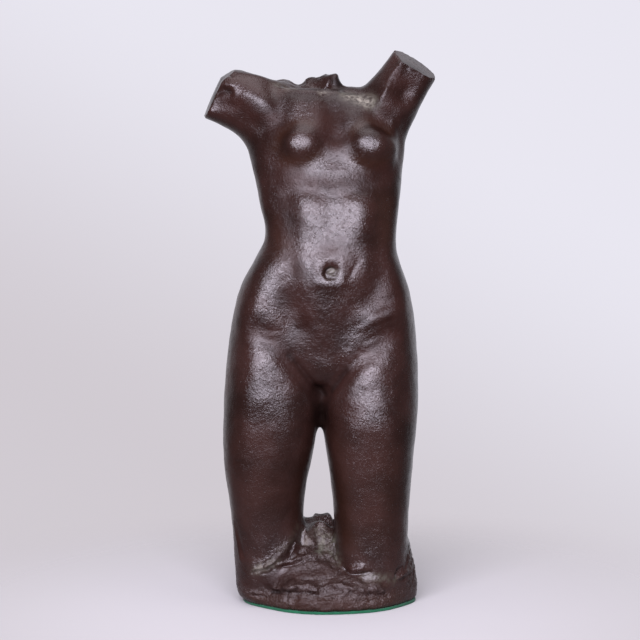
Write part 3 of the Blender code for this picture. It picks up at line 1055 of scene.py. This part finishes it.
# The neck and the navel, which keep their edges while the body is softened
KEPT_SHARP = (
    Dab(18, 0.85, ((-34, 12, 410), (4, 10, 414))),
    Dab(12, 0.8, ((2, -44, 268),)),
)

# The neck, the navel and the groin, which take smaller faces, with their reach as the radius
FINE_FORMS = (
    Dab(19, 1.0, ((-36, 8, 412), (6, 6, 414))),
    Dab(15, 1.0, ((2, -46, 268),)),
    Dab(8, 1.0, ((-21, -37, 190), (-4, -26, 169), (11, -35, 186))),
)

# The parts of the rock and the breaks that are roughened in their own way
CRUMPLED = Dab(5, 0.9, ((-57, -31, 33), (-46, -33, 37), (-35, -31, 51)))
ROCK_HOLLOW = Dab(7, 0.85, ((-28, -36, 30), (-14, -38, 32), (2, -38, 30)))
ROCK_FACETS = Dab(10, 0.6, ((-20, -14, 56), (-6, -10, 55), (2, -18, 46)))
NECK_BREAK = Dab(12, 1.0, ((-36, 10, 414), (-14, 10, 416), (4, 6, 416)))
ARM_BREAK = Dab(5, 0.6, ((-86, -12, 408), (-78, -14, 408)))

# Planes that end the arms, set just inside the solid's own ends
ARM_ENDS = (
    Flat((-90.6, 3, 404.8), (-0.9, -0.15, 0.41), 27),
    Flat((-82.7, 3, 418.9), (-0.6, -0.2, 0.78), 14),
    Flat((68.4, 0, 429.0), (0.53, -0.3, 0.81), 34),
)

PATCHES = (
    # Verdigris on the mound, along the right thigh, in the navel and on the broken neck
    Patch(Stain.VERDIGRIS, 5, 0.75, ((-9, -8, 60), (-3, -10, 56), (4, -14, 52))),
    Patch(Stain.VERDIGRIS, 3.5, 0.9, ((-3, -9, 54), (-5, -14, 48), (-7, -20, 43))),
    Patch(Stain.VERDIGRIS, 5, 0.5, ((2, -17, 45), (8, -25, 38))),
    Patch(Stain.VERDIGRIS, 4, 0.45, ((-58, -30, 31), (-50, -32, 34), (-42, -32, 38))),
    Patch(Stain.VERDIGRIS, 3, 0.35, ((-38, -31, 47), (-30, -28, 56), (-25, -22, 64))),
    Patch(Stain.VERDIGRIS, 6, 0.75, ((15, -12, 406), (28, -16, 401), (34, -16, 396))),
    Patch(Stain.VERDIGRIS, 6, 0.45, ((-40, -6, 411), (-28, -9, 411))),
    Patch(Stain.VERDIGRIS, 3.4, 1.0, ((2.4, -42, 266), (5, -42, 266.4))),
    Patch(Stain.VERDIGRIS, 4, 0.5, ((29, -38, 27), (40, -37, 26), (52, -32, 24))),
    Patch(Stain.VERDIGRIS, 7, 0.5, ((-30, 38, 34), (0, 34, 40), (30, 36, 32))),
    # Dust on the broken places, in the navel and on the left arm's end
    Patch(Stain.DUST, 3.0, 0.26, ((2.8, -42, 266), (4.8, -42, 266.4))),
    Patch(Stain.DUST, 2.6, 0.6, ((-33, -12, 409), (-28, -14, 408))),
    Patch(Stain.DUST, 2.6, 0.8, ((-5, -17, 407), (0, -17, 407))),
    Patch(Stain.DUST, 5, 0.75, ((17, -13, 404), (30, -16, 399))),
    Patch(Stain.DUST, 5, 0.28, ((-20, -13, 55), (-17, -13, 50))),
    Patch(Stain.DUST, 5, 0.34, ((-6, -9, 58), (-3, -11, 50))),
    Patch(Stain.DUST, 3.0, 0.35, ((-56, -31, 32), (-50, -32, 35), (-44, -32, 37))),
    Patch(Stain.DUST, 2.4, 0.3, ((-10, -9, 61), (-2, -7, 59))),
    Patch(Stain.DUST, 6, 0.07, ((62, -6, 433), (68, 2, 430), (76, 4, 424))),
    # Warmer brown round the breasts, on the inner thighs, the flanks and the slabs of the foot
    Patch(Stain.WARMTH, 6, 0.8, ((-60, -24, 7), (-30, -42, 7), (-5, -47, 7), (30, -44, 7), (60, -28, 8))),
    Patch(Stain.WARMTH, 5, 0.5, ((-42, -28, 362), (-38, -29, 374), (-26, -29, 383), (-14, -30, 382))),
    Patch(Stain.WARMTH, 5, 0.5, ((18, -32, 376), (30, -26, 384), (44, -20, 380), (49, -26, 366))),
    Patch(Stain.WARMTH, 6, 0.6, ((-36, -32, 353), (-20, -36, 351), (-7, -36, 356))),
    Patch(Stain.WARMTH, 6, 0.6, ((18, -35, 354), (32, -35, 350), (45, -30, 354))),
    Patch(Stain.WARMTH, 14, 0.6, ((-26, -20, 130), (-25, -20, 95), (-25, -18, 75))),
    Patch(Stain.WARMTH, 14, 0.55, ((14, -28, 130), (14, -28, 90), (16, -30, 55))),
    Patch(Stain.WARMTH, 20, 0.35, ((-50, -30, 138), (-50, -28, 90))),
    Patch(Stain.WARMTH, 20, 0.35, ((38, -34, 126), (38, -32, 70))),
    Patch(Stain.WARMTH, 10, 0.5, ((-46, -34, 300), (-36, -38, 285))),
    Patch(Stain.WARMTH, 12, 0.5, ((44, -30, 320), (46, -30, 295))),
    Patch(Stain.WARMTH, 12, 0.4, ((70, -10, 240), (72, -16, 190))),
    Patch(Stain.WARMTH, 9, 0.4, ((-50, 20, 150), (-50, 20, 120))),
    # Painted shade, near black and with little shine: in the fork, the folds of the groin, the navel's
    # moat, the deep folds of the rock, under the right arm's lip, over the lower thighs, on the neck's knob
    # and on the right arm's end
    Patch(Stain.SOOT, 9, 0.65, ((-6.5, -20, 171), (-5.5, -14, 158), (-5, -8, 146))),
    Patch(Stain.SOOT, 1.4, 0.8, ((-3.2, -41, 263.6), (-3.6, -41, 266.4), (-1.6, -41, 269))),
    Patch(Stain.SOOT, 1.2, 0.6, ((-30, -35, 35.5), (-22, -34, 37.5), (-15, -32, 39.5))),
    Patch(Stain.SOOT, 1.2, 0.6, ((-15, -32, 39.5), (-7, -30, 39), (3, -30, 36))),
    Patch(Stain.SOOT, 1.6, 0.6, ((-44, -33, 14), (-33, -38, 15), (-18, -42, 16.5))),
    Patch(Stain.SOOT, 1.6, 0.6, ((-18, -42, 16.5), (0, -43, 15), (10, -43, 17))),
    Patch(Stain.SOOT, 1.8, 0.6, ((-86, -12, 406), (-79, -15, 407))),
    Patch(Stain.SOOT, 24, 0.2, ((-42, -28, 116), (-40, -26, 84))),
    Patch(Stain.SOOT, 12, 0.25, ((-24, -20, 130), (-24, -18, 80))),
    Patch(Stain.SOOT, 10, 0.2, ((10, -24, 130), (12, -28, 70))),
    Patch(Stain.SOOT, 7, 0.35, ((-44, -36, 25), (-34, -38, 25))),
    Patch(Stain.SOOT, 2.0, 0.5, ((-31, -38, 202), (-22, -37, 192))),
    Patch(Stain.SOOT, 3.0, 0.5, ((-24, -38, 194), (-11, -32, 177), (-4, -26, 170))),
    Patch(Stain.SOOT, 2.6, 0.45, ((14, -38, 190), (10, -34, 184.6), (2, -28, 172))),
    Patch(Stain.SOOT, 6, 0.7, ((-6, -30, 168), (-6, -22, 156))),
    Patch(Stain.SOOT, 4.5, 0.65, ((4, -2, 418), (9, 2, 413))),
    Patch(Stain.SOOT, 5, 0.4, ((-92, -8, 400), (-90, 2, 405), (-86, 4, 416))),
    # Less shine: between the breasts, on the arms, the left hip, the groin and the lower thighs
    Patch(Stain.DULL, 12, 1.0, ((-6.5, -24, 174), (-5.5, -18, 160), (-5, -10, 146))),
    Patch(Stain.DULL, 13, 0.9, ((5, -28, 366), (3, -24, 384))),
    Patch(Stain.DULL, 11, 0.9, ((-80, -16, 398), (-62, -19, 394), (-48, -24, 380), (-48, -28, 365))),
    Patch(Stain.DULL, 13, 0.65, ((66, -14, 422), (60, -17, 410), (52, -21, 396), (48, -24, 384))),
    Patch(Stain.DULL, 5, 1.0, ((56, -17, 424), (50, -19, 410), (45, -20, 400))),
    Patch(Stain.DULL, 8, 0.45, ((6, -40, 344), (16, -40, 343))),
    Patch(Stain.DULL, 10, 0.65, ((-38, -38, 345), (-38, -40, 320), (-38, -42, 292))),
    Patch(Stain.DULL, 15, 0.75, ((48, -36, 250), (44, -38, 232))),
    Patch(Stain.DULL, 8, 0.7, ((-59, -34, 222), (-46, -38, 217), (-30, -38, 202), (-16, -32, 182))),
    Patch(Stain.DULL, 8, 0.7, ((52, -33, 219), (34, -38, 208), (20, -38, 194), (8, -34, 182))),
    Patch(Stain.DULL, 8, 0.6, ((-30, -36, 28), (-18, -36, 31), (-5, -37, 31))),
    Patch(Stain.DULL, 8, 1.0, ((-46, -36, 25), (-36, -38, 24), (-28, -38, 27))),
    Patch(Stain.DULL, 6, 0.8, ((-73, -20, 55), (-70, -24, 42))),
    Patch(Stain.DULL, 13, 0.9, ((-38, -36, 345), (-26, -38, 343))),
    Patch(Stain.DULL, 13, 0.9, ((34, -37, 343), (42, -34, 344))),
    Patch(Stain.DULL, 9, 0.9, ((-26, -40, 337), (-16, -40, 336), (4, -41, 334), (28, -39, 336))),
    Patch(Stain.DULL, 9, 0.8, ((-34, -42, 249), (-30, -42, 242))),
    Patch(Stain.DULL, 8, 0.7, ((-30, -44, 276), (-24, -44, 268))),
    Patch(Stain.DULL, 22, 0.35, ((-4, -44, 240), (-4, -40, 212))),
    Patch(Stain.DULL, 11, 1.0, ((47, -24, 390), (41, -20, 391), (44, -28, 376))),
    Patch(Stain.DULL, 11, 1.0, ((-46, -18, 390), (-41, -23, 384), (-42, -30, 374))),
    Patch(Stain.DULL, 9, 0.45, ((-2, -45, 284), (10, -45, 286))),
    Patch(Stain.DULL, 9, 0.45, ((-55, -34, 212), (-50, -36, 206))),
    Patch(Stain.DULL, 9, 0.5, ((42, -34, 209), (34, -38, 201))),
    Patch(Stain.DULL, 8, 0.9, ((-23, -42, 218), (-18, -42, 228))),
    Patch(Stain.DULL, 9, 0.5, ((-30, -42, 236), (-28, -43, 246))),
    Patch(Stain.DULL, 26, 0.9, ((-44, -30, 130), (-40, -28, 90))),
    Patch(Stain.DULL, 15, 0.9, ((-26, -20, 134), (-25, -18, 75))),
    Patch(Stain.DULL, 22, 0.6, ((34, -36, 120), (34, -34, 72))),
    Patch(Stain.DULL, 14, 0.9, ((14, -26, 134), (16, -28, 60))),
    # Rubbed brighter: the belly's lobes, the navel's rim, the breasts, the hip and the thighs
    Patch(Stain.POLISH, 8, 0.9, ((-15, -46, 320), (-13, -46, 311))),
    Patch(Stain.POLISH, 8, 0.9, ((24, -44, 320), (23, -46, 308))),
    Patch(Stain.POLISH, 7, 0.7, ((-10, -46, 270), (-6, -46, 258), (6, -46, 255), (14, -46, 262))),
    Patch(Stain.POLISH, 7, 0.4, ((-27, -39, 367), (-15, -39, 366))),
    Patch(Stain.POLISH, 7, 0.4, ((26, -39, 366), (36, -39, 366))),
    Patch(Stain.POLISH, 8, 1.0, ((-66, -12, 412), (-54, -12, 408))),
    Patch(Stain.POLISH, 9, 0.7, ((-48, -38, 256), (-52, -36, 240))),
    Patch(Stain.POLISH, 9, 1.1, ((-52, -38, 192), (-50, -40, 178))),
    Patch(Stain.POLISH, 9, 0.9, ((26, -42, 190), (27, -44, 166))),
    Patch(Stain.POLISH, 5, 0.8, ((-20, -13, 55), (-17, -13, 50))),
    Patch(Stain.POLISH, 4, 1.0, ((-26, -44, 20), (-10, -46, 19.5), (10, -46, 22))),
    # The slabs of the foot, dull also beside the polished ridge
    Patch(Stain.DULL, 6, 1.0, ((-22, -45, 8), (-5, -47, 8), (14, -46, 8))),
)


@dataclass
class BronzeCasting:
    """The figure and its rock in one casting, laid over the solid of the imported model.

    Sizes are in millimetres. A pair of them says where a blend starts and where it is full.
    """

    finish: PatinaFinish
    groups: SharedGroups
    node: str = "bronze_torso"
    name: str = "bronze_casting"
    voxel: float = 2.2
    soften_rounds: int = 22
    ease_rounds: int = 48
    even_rounds: int = 3
    fine_rounds: int = 2
    give_back_rounds: int = 2
    body_heights: Pair = (58.0, 92.0)
    end_blend: Pair = (-7.0, -2.0)
    end_fine: float = -5.0
    end_trim: float = -4.0
    fine_top: float = 62.0
    rock_top: float = 82.0
    rock_fade: float = 10.0
    rock_edge: Pair = (0.9, 3.2)
    foot_heights: Pair = (12.0, 20.0)
    foot_level: float = 0.9
    mound_top: float = 65.5
    middle_depth: float = 2.0
    navel: Pair = (1.8, 265.8)
    navel_half: Pair = (6.2, 4.9)
    hollow_depths: Pair = (0.03, 0.22)
    ridge_heights: Pair = (0.03, 0.2)
    thighs: tuple[Thigh, ...] = field(
        default=(
            Thigh((-73.5, -20, -30, 31), (-79.6, -19.2, -39, 37)),
            Thigh((60, 5, -36, 27), (65.2, 3.4, -43, 35)),
        )
    )

    def build(self) -> bpy.types.Object:
        """Models and dresses the casting.

        Returns:
            The finished piece.
        """
        item = copy_node(self.node, self.name)
        self.refine(item)
        skin = Skin(item)
        self.carve(skin)
        self.break_rock(skin)
        self.break_neck(skin)
        self.work_skin(skin)
        self.trim_arms(skin)
        self.flatten_foot(skin)
        self.mark(skin)
        item.data.materials.clear()
        item.data.materials.append(self.finish.build(self.groups))
        take_up(item)
        bpy.ops.object.shade_smooth()
        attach(item, "root")
        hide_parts(self.node)
        return item

    def refine(self, item: bpy.types.Object) -> None:
        """Remeshes the copy finely, softens its facets and splits the faces where detail is small.

        Args:
            item: the copy of the solid.
        """
        take_up(item)
        remesh = item.modifiers.new("skin", "REMESH")
        remesh.mode = "VOXEL"
        remesh.voxel_size = self.voxel * MILLIMETRE
        bpy.ops.object.modifier_apply(modifier=remesh.name)
        skin = Skin(item)
        self.soften(skin, self.figure_share(skin.places()), self.soften_rounds)
        self.soften(skin, self.ease_share(skin.places()), self.ease_rounds)
        self.soften(skin, np.ones(len(item.data.vertices)), self.even_rounds)
        skin.select(self.fine_zones(skin.places()))
        bpy.ops.mesh.subdivide(number_cuts=1, smoothness=0.0)
        bpy.ops.object.mode_set(mode="OBJECT")
        self.soften(skin, self.fine_zones(skin.places()).astype(float), self.fine_rounds)

    def soften(self, skin: Skin, shares: np.ndarray, rounds: int) -> None:
        """Evens the surface out by shares, and gives back what the broad forms lost.

        Args:
            skin: the surface.
            shares: how much each corner is evened, nought to one.
            rounds: how often.
        """
        before = skin.places()
        after = np.stack([skin.spread(before[:, axis], rounds) for axis in range(3)], axis=1)
        for _ in range(self.give_back_rounds):
            lost = before - after
            after += np.stack([skin.spread(lost[:, axis], rounds) for axis in range(3)], axis=1)
        skin.put(before + (after - before) * shares[:, None])

    def figure_share(self, places: np.ndarray) -> np.ndarray:
        """Finds how far each place may be softened as part of the body.

        Args:
            places: points in millimetres.

        Returns:
            One on the body, and nought on the rock, the neck and the arms' ends.
        """
        share = ramp(places[:, 2], *self.body_heights)
        for plane in ARM_ENDS:
            share *= 1 - ramp(plane.above(places), *self.end_blend)
        for form in KEPT_SHARP:
            share *= 1 - form.depth * form.share(places)
        return share

    def ease_share(self, places: np.ndarray) -> np.ndarray:
        """Finds how far each place is evened again, where a fold is shallower than the solid's.

        Args:
            places: points in millimetres.

        Returns:
            Up to one along the eased folds.
        """
        share = np.zeros(len(places))
        for dab in EASES:
            share = np.maximum(share, dab.depth * dab.share(places))
        return share

    def fine_zones(self, places: np.ndarray) -> np.ndarray:
        """Picks the places that need smaller faces.

        Args:
            places: points in millimetres.

        Returns:
            True for each place on the rock, the neck, the arms' ends, the navel and the groin.
        """
        fine = places[:, 2] < self.fine_top
        fine |= self.rock_share(places) > 0.5
        for form in FINE_FORMS:
            fine |= path_distance(places, form.path) < form.radius
        for plane in ARM_ENDS:
            fine |= plane.above(places) > self.end_fine
        return fine

    def rock_share(self, places: np.ndarray) -> np.ndarray:
        """Finds how much each place belongs to the rock.

        Args:
            places: points in millimetres.

        Returns:
            One on the rock and nought on the figure, with a short blend between them.
        """
        outside = np.minimum(*(thigh.outside(places) for thigh in self.thighs))
        share = ramp(outside, *self.rock_edge)
        share *= 1 - ramp(places[:, 2], self.rock_top - self.rock_fade, self.rock_top)
        return np.maximum(share, 1 - ramp(places[:, 2], *self.foot_heights))

    def carve(self, skin: Skin) -> None:
        """Works the strokes, dabs and flats into the surface.

        Args:
            skin: the casting's surface.
        """
        places, outward = skin.places(), skin.outward()
        seen = places[:, [0, 2]]
        shift = np.zeros(len(places))
        for stroke in FRONT_STROKES + BACK_STROKES:
            facing = stroke.side.value
            turned = np.clip(facing * outward[:, 1] * TURN_GAIN, 0, 1)
            turned *= facing * (places[:, 1] - self.middle_depth) > 0
            shift += stroke.depth * bell(path_distance(seen, stroke.path), stroke.width) * turned
        skin.put(places + outward * shift[:, None])
        places, outward = skin.places(), skin.outward()
        shift = np.zeros(len(places))
        for dab in DABS:
            shift += dab.depth * dab.share(places)
        places += outward * shift[:, None]
        for flat in FLATS:
            places = self.press(places, flat)
        skin.put(places)
        self.press_navel(skin)

    def press_navel(self, skin: Skin) -> None:
        """Sinks the navel, with the flat plug that fills it and a moat at the plug's right side.

        Args:
            skin: the casting's surface.
        """
        places, outward = skin.places(), skin.outward()
        middle_x, middle_z = self.navel
        half_width, half_height = self.navel_half
        across, along = (places[:, 0] - middle_x) / half_width, (places[:, 2] - middle_z) / half_height
        sunk = 1 - ramp(np.hypot(across, along), 0.75, 1.08)
        plug = 1 - ramp(np.hypot(across - 0.36, (along + 0.02) * 1.1) / 0.82, 0.7, 1.1)
        moat = 0.8 + 1.1 * ramp(-across, -0.5, 0.4)
        shift = moat * (0.66 * plug - 1) * sunk * (places[:, 1] < 0)
        shift += 0.35 * clay_noise(places, sunk > 0.05, 3.0, 2, 4.4) * sunk
        skin.put(places + outward * shift[:, None])

    def press(self, places: np.ndarray, flat: Flat) -> np.ndarray:
        """Pushes what stands above a plane back to it, within the flat's reach.

        Args:
            places: points in millimetres.
            flat: the plane.

        Returns:
            The new places.
        """
        above = np.clip(flat.above(places), 0, None)
        crisp = min(flat.reach * 0.5 * (1 + flat.firmness), flat.reach - HAIR)
        near = flat.firmness * (1 - ramp(flat.away(places), crisp, flat.reach))
        return places - flat.normal * (above * near)[:, None]

    def break_rock(self, skin: Skin) -> None:
        """Breaks the rock's surface into facets, chips and crumbs.

        Args:
            skin: the casting's surface.
        """
        places, outward = skin.places(), skin.outward()
        share = self.rock_share(places)
        share *= ramp(places[:, 2], 2.6, 5.0) * (1 - 0.85 * ramp(places[:, 2], 55, 63))
        chosen = share > 0.01
        hollow, facets = ROCK_HOLLOW.share(places), ROCK_FACETS.share(places)
        calm = 1 - np.maximum(ROCK_HOLLOW.depth * hollow, ROCK_FACETS.depth * facets)
        foot = 1 - ramp(places[:, 2], 10, 17)
        # Large and small chips, lumps and level strata, all shallower on the slabs but the strata
        relief = chip_noise(places, chosen, 8.0, 3.7) * (0.6 - 0.45 * foot)
        relief += chip_noise(places, chosen, 3.9, 9.1) * (0.42 - 0.3 * foot)
        relief += clay_noise(places, chosen, 5.5, 3, 5.5) * (0.6 - 0.3 * foot)
        relief += clay_noise(places * (0.4, 0.4, 1.3), chosen, 4.0, 3, 6.1) * (0.25 + 0.2 * foot)
        level = np.sin(places[:, 2] * 3.1 + 0.25 * places[:, 0]) * hollow * 0.12
        places += outward * ((relief * calm + level) * share)[:, None]
        # The mound's top, broken off in a wavy line behind the gap between the thighs
        top = self.rock_share(places) * bell(np.hypot(places[:, 0] + 6, places[:, 1] - 20), 16)
        limit = self.mound_top + 0.9 * np.sin(0.42 * places[:, 0] + 1.0) + 0.5 * np.sin(0.8 * places[:, 1])
        places[:, 2] -= np.clip(places[:, 2] - limit, 0, None) * top
        crumpled = CRUMPLED.share(places) * (1 - share)
        shift = clay_noise(places, crumpled > 0.05, 3.2, 3, 7.7) * crumpled * CRUMPLED.depth
        skin.put(places + outward * shift[:, None])

    def break_neck(self, skin: Skin) -> None:
        """Roughens the broken neck and the chipped end of the right arm.

        Args:
            skin: the casting's surface.
        """
        places, outward = skin.places(), skin.outward()
        share = NECK_BREAK.share(places) * ramp(places[:, 2], 402, 409)
        share = np.maximum(share, ARM_BREAK.depth * ARM_BREAK.share(places))
        chosen = share > 0.02
        relief = chip_noise(places, chosen, 9.0, 1.9) * 0.35 + clay_noise(places, chosen, 5.0, 3, 2.2) * 0.6
        skin.put(places + outward * (relief * share)[:, None])

    def work_skin(self, skin: Skin) -> None:
        """Leaves the uneven skin of hand-worked clay over the body.

        Args:
            skin: the casting's surface.
        """
        places, outward = skin.places(), skin.outward()
        body = 1 - self.rock_share(places)
        chosen = body > 0.01
        relief = clay_noise(places, chosen, 17.0, 2, 0.4) * 0.32
        relief += clay_noise(places, chosen, 7.0, 3, 8.3) * 0.15
        skin.put(places + outward * (relief * body)[:, None])

    def trim_arms(self, skin: Skin) -> None:
        """Cuts edges in at the planes that end the arms and presses what lies beyond onto them.

        Args:
            skin: the casting's surface.
        """
        for plane in ARM_ENDS:
            places = skin.places()
            skin.select((plane.above(places) > self.end_trim) & (plane.away(places) < plane.reach))
            bpy.ops.mesh.bisect(
                plane_co=Vector(plane.point) * MILLIMETRE, plane_no=Vector(plane.normal), threshold=0.00002
            )
            bpy.ops.object.mode_set(mode="OBJECT")
            places = skin.places()
            beyond = np.clip(plane.above(places), 0, None) * (plane.away(places) < plane.reach)
            skin.put(places - plane.normal * beyond[:, None])

    def flatten_foot(self, skin: Skin) -> None:
        """Levels the foot on the felt and keeps every corner within the solid's box.

        Args:
            skin: the casting's surface.
        """
        places = skin.places()
        low, high = (np.array(corner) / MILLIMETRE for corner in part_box(self.node))
        places[places[:, 2] < low[2] + self.foot_level, 2] = low[2]
        for axis in range(3):
            places[:, axis] = np.clip(places[:, axis], low[axis], high[axis])
        skin.put(places)

    def mark(self, skin: Skin) -> None:
        """Writes where the rock, ridges and stains are, and the hollows and folds that are darkened as
        painted shade, into two colour attributes.

        Args:
            skin: the casting's surface.
        """
        places = skin.places()
        bulge = skin.spread(skin.bulge(), 2)
        shape = np.zeros((len(places), 4), np.float32)
        shape[:, 0] = np.maximum(self.rock_share(places), CRUMPLED.depth * CRUMPLED.share(places))
        # the hollows, darkened in the material as painted shade
        shape[:, 1] = ramp(-bulge, *self.hollow_depths)
        shape[:, 2] = ramp(bulge, *self.ridge_heights)
        stains = np.zeros((len(places), 4), np.float32)
        wear = shape[:, 3]
        for patch in PATCHES:
            share = patch.share(places)
            if patch.stain is Stain.POLISH:
                wear -= share
            else:
                held = wear if patch.stain is Stain.DULL else stains[:, patch.stain.value]
                held[:] = np.maximum(held, share)
        for name, values in (("shape", shape), ("stains", stains)):
            layer = skin.item.data.color_attributes.new(name, "FLOAT_COLOR", "POINT")
            layer.data.foreach_set("color", values.ravel())


@dataclass
class FeltSheet:
    """The felt glued under the casting, cut to the foot's outline."""

    finish: FeltFinish
    groups: SharedGroups
    node: str = "felt_pad"
    name: str = "felt_sheet"
    rim: float = 0.45
    rim_steps: int = 3
    waver: float = 0.35

    def build(self) -> bpy.types.Object:
        """Models and dresses the felt.

        Returns:
            The finished piece.
        """
        item = copy_node(self.node, self.name)
        bpy.ops.object.mode_set(mode="EDIT")
        bpy.ops.mesh.select_all(action="SELECT")
        bpy.ops.mesh.dissolve_limited(angle_limit=math.radians(0.5))
        bpy.ops.object.mode_set(mode="OBJECT")
        bevel = item.modifiers.new("worn_rim", "BEVEL")
        bevel.width = self.rim * MILLIMETRE
        bevel.segments = self.rim_steps
        bevel.limit_method = "ANGLE"
        bevel.angle_limit = math.radians(40)
        bpy.ops.object.modifier_apply(modifier=bevel.name)
        skin = Skin(item)
        places = skin.places()
        around = np.arctan2(places[:, 1], places[:, 0])
        waves = np.sin(around * 23 + 0.7) * 0.5 + np.sin(around * 41 + 2.1) * 0.3 + np.sin(around * 9) * 0.2
        reach = np.linalg.norm(places[:, :2], axis=1)
        places[:, :2] *= (1 - self.waver * (0.5 + 0.5 * waves) / reach.clip(1))[:, None]
        skin.put(places)
        item.data.materials.clear()
        item.data.materials.append(self.finish.build(self.groups))
        take_up(item)
        bpy.ops.object.shade_smooth_by_angle(angle=math.radians(50))
        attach(item, "root")
        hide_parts(self.node)
        return item


@dataclass(frozen=True)
class Softbox:
    """A soft light: where it stands round the figure, its size and its power."""

    name: str
    azimuth: float
    elevation: float
    distance: float
    width: float
    height: float
    power: float
    colour: Colour


@dataclass
class Studio:
    """The pale floor, the soft light and the camera."""

    aim: Point = (0.0, 0.0, 0.22)
    floor_radius: float = 3.0
    floor_tone: Colour = (0.61, 0.605, 0.60)
    floor_bounce: Colour = (0.26, 0.24, 0.24)
    # painted shade: the share of the floor's tone left towards the camera
    near_floor_shade: float = 0.84
    floor_fade: Pair = (0.07, 0.42)
    haze_low: Colour = (0.635, 0.595, 0.64)
    haze_high: Colour = (0.815, 0.80, 0.88)
    haze_rise: Pair = (-0.2, 0.08)
    haze_lean: float = 0.5
    glow_turn: Pair = (0.35, 0.97)
    glow_tones: Pair = (0.12, 0.86)
    eye: Point = (-0.0066, -1.35, 0.321)
    pitch: float = 4.0
    film_width: float = 36.0
    lens: float = 95.34
    softboxes: tuple[Softbox, ...] = field(
        default=(
            Softbox("front_softbox", -8, 17, 1.6, 1.6, 0.62, 60, (0.98, 0.92, 1.08)),
            Softbox("top_softbox", 10, 80, 1.7, 1.6, 1.6, 17, (1.0, 0.95, 1.02)),
        )
    )

    def build(self) -> None:
        """Sets up the floor, the light and the camera."""
        self.make_floor()
        self.make_world()
        for box in self.softboxes:
            self.make_softbox(box)
        self.make_camera()
        bpy.context.scene.view_settings.view_transform = "Standard"

    def make_floor(self) -> None:
        """Lays the pale floor, which fades into the haze far from the figure and is painted darker towards
        the camera as painted shade.
        """
        deselect_all()
        bpy.ops.mesh.primitive_circle_add(
            vertices=96, radius=self.floor_radius, fill_type="NGON", location=(0, 0, -0.0002)
        )
        floor = bpy.context.active_object
        floor.name = "studio_floor"
        material, pen, shader, where = new_finish("pale_paper")
        split = pen.add("ShaderNodeSeparateXYZ")
        pen.join(where, split.inputs[0])
        # painted shade: the floor is darker towards the camera
        near = tuple(tone * self.near_floor_shade for tone in self.floor_tone)
        tone = pen.blend(pen.slope(split.outputs["Y"], -0.5, 0.1), near, self.floor_tone)
        unseen = pen.math("SUBTRACT", 1.0, pen.add("ShaderNodeLightPath").outputs["Is Camera Ray"])
        pen.join(pen.blend(unseen, tone, self.floor_bounce), shader.inputs["Base Color"])
        shader.inputs["Roughness"].default_value = 0.85
        shader.inputs["Specular IOR Level"].default_value = 0.1
        away = pen.add("ShaderNodeVectorMath", operation="LENGTH")
        pen.join(where, away.inputs[0])
        fade = pen.slope(away.outputs["Value"], *self.floor_fade, 1.0, 0.0)
        pen.join(fade, shader.inputs["Alpha"])
        floor.data.materials.append(material)

    def make_world(self) -> None:
        """Makes the haze that the camera sees, and a dimmer surround that is brighter behind the figure."""
        world = bpy.data.worlds.new("studio_haze")
        bpy.context.scene.world = world
        world.use_nodes = True
        pen = NodePen(world.node_tree)
        backdrop = world.node_tree.nodes["Background"]
        split = pen.add("ShaderNodeSeparateXYZ")
        pen.join(pen.add("ShaderNodeTexCoord").outputs["Generated"], split.inputs[0])
        rise = pen.plus(split.outputs["Z"], split.outputs["X"], self.haze_lean)
        share = pen.slope(rise, *self.haze_rise)
        pen.join(pen.blend(share, self.haze_low, self.haze_high), backdrop.inputs["Color"])
        glow = pen.slope(split.outputs["Y"], *self.glow_turn, *self.glow_tones)
        seen = pen.add("ShaderNodeLightPath").outputs["Is Camera Ray"]
        bare = pen.math("SUBTRACT", 1.0, seen)
        strength = pen.math("ADD", seen, pen.math("MULTIPLY", bare, glow))
        pen.join(strength, backdrop.inputs["Strength"])

    def make_softbox(self, box: Softbox) -> None:
        """Hangs one softbox, turned to the figure.

        Args:
            box: the softbox.
        """
        azimuth, elevation = math.radians(box.azimuth), math.radians(box.elevation)
        level = math.cos(elevation)
        away = Vector((math.sin(azimuth) * level, -math.cos(azimuth) * level, math.sin(elevation)))
        place = Vector(self.aim) + away * box.distance
        bpy.ops.object.light_add(type="AREA", location=place)
        lamp = bpy.context.active_object
        lamp.name = box.name
        lamp.rotation_euler = (-away).to_track_quat("-Z", "Y").to_euler()
        lamp.data.shape = "RECTANGLE"
        lamp.data.size = box.width
        lamp.data.size_y = box.height
        lamp.data.energy = box.power
        lamp.data.color = box.colour

    def make_camera(self) -> None:
        """Stands the camera where the photograph was taken from."""
        bpy.ops.object.camera_add(location=self.eye, rotation=(math.radians(90 - self.pitch), 0, 0))
        camera = bpy.context.active_object
        camera.name = "studio_camera"
        camera.data.sensor_width = self.film_width
        camera.data.lens = self.lens
        bpy.context.scene.camera = camera


def main() -> None:
    """Builds the casting, the felt and the studio, and reports each piece."""
    logging.basicConfig(level=logging.INFO, format="%(name)s: %(message)s")
    groups = SharedGroups.make()
    for piece in (BronzeCasting(PatinaFinish(), groups), FeltSheet(FeltFinish(), groups)):
        item = piece.build()
        LOG.info("%s has %d corners", item.name, len(item.data.vertices))
    Studio().build()


if __name__ == "__main__":
    main()
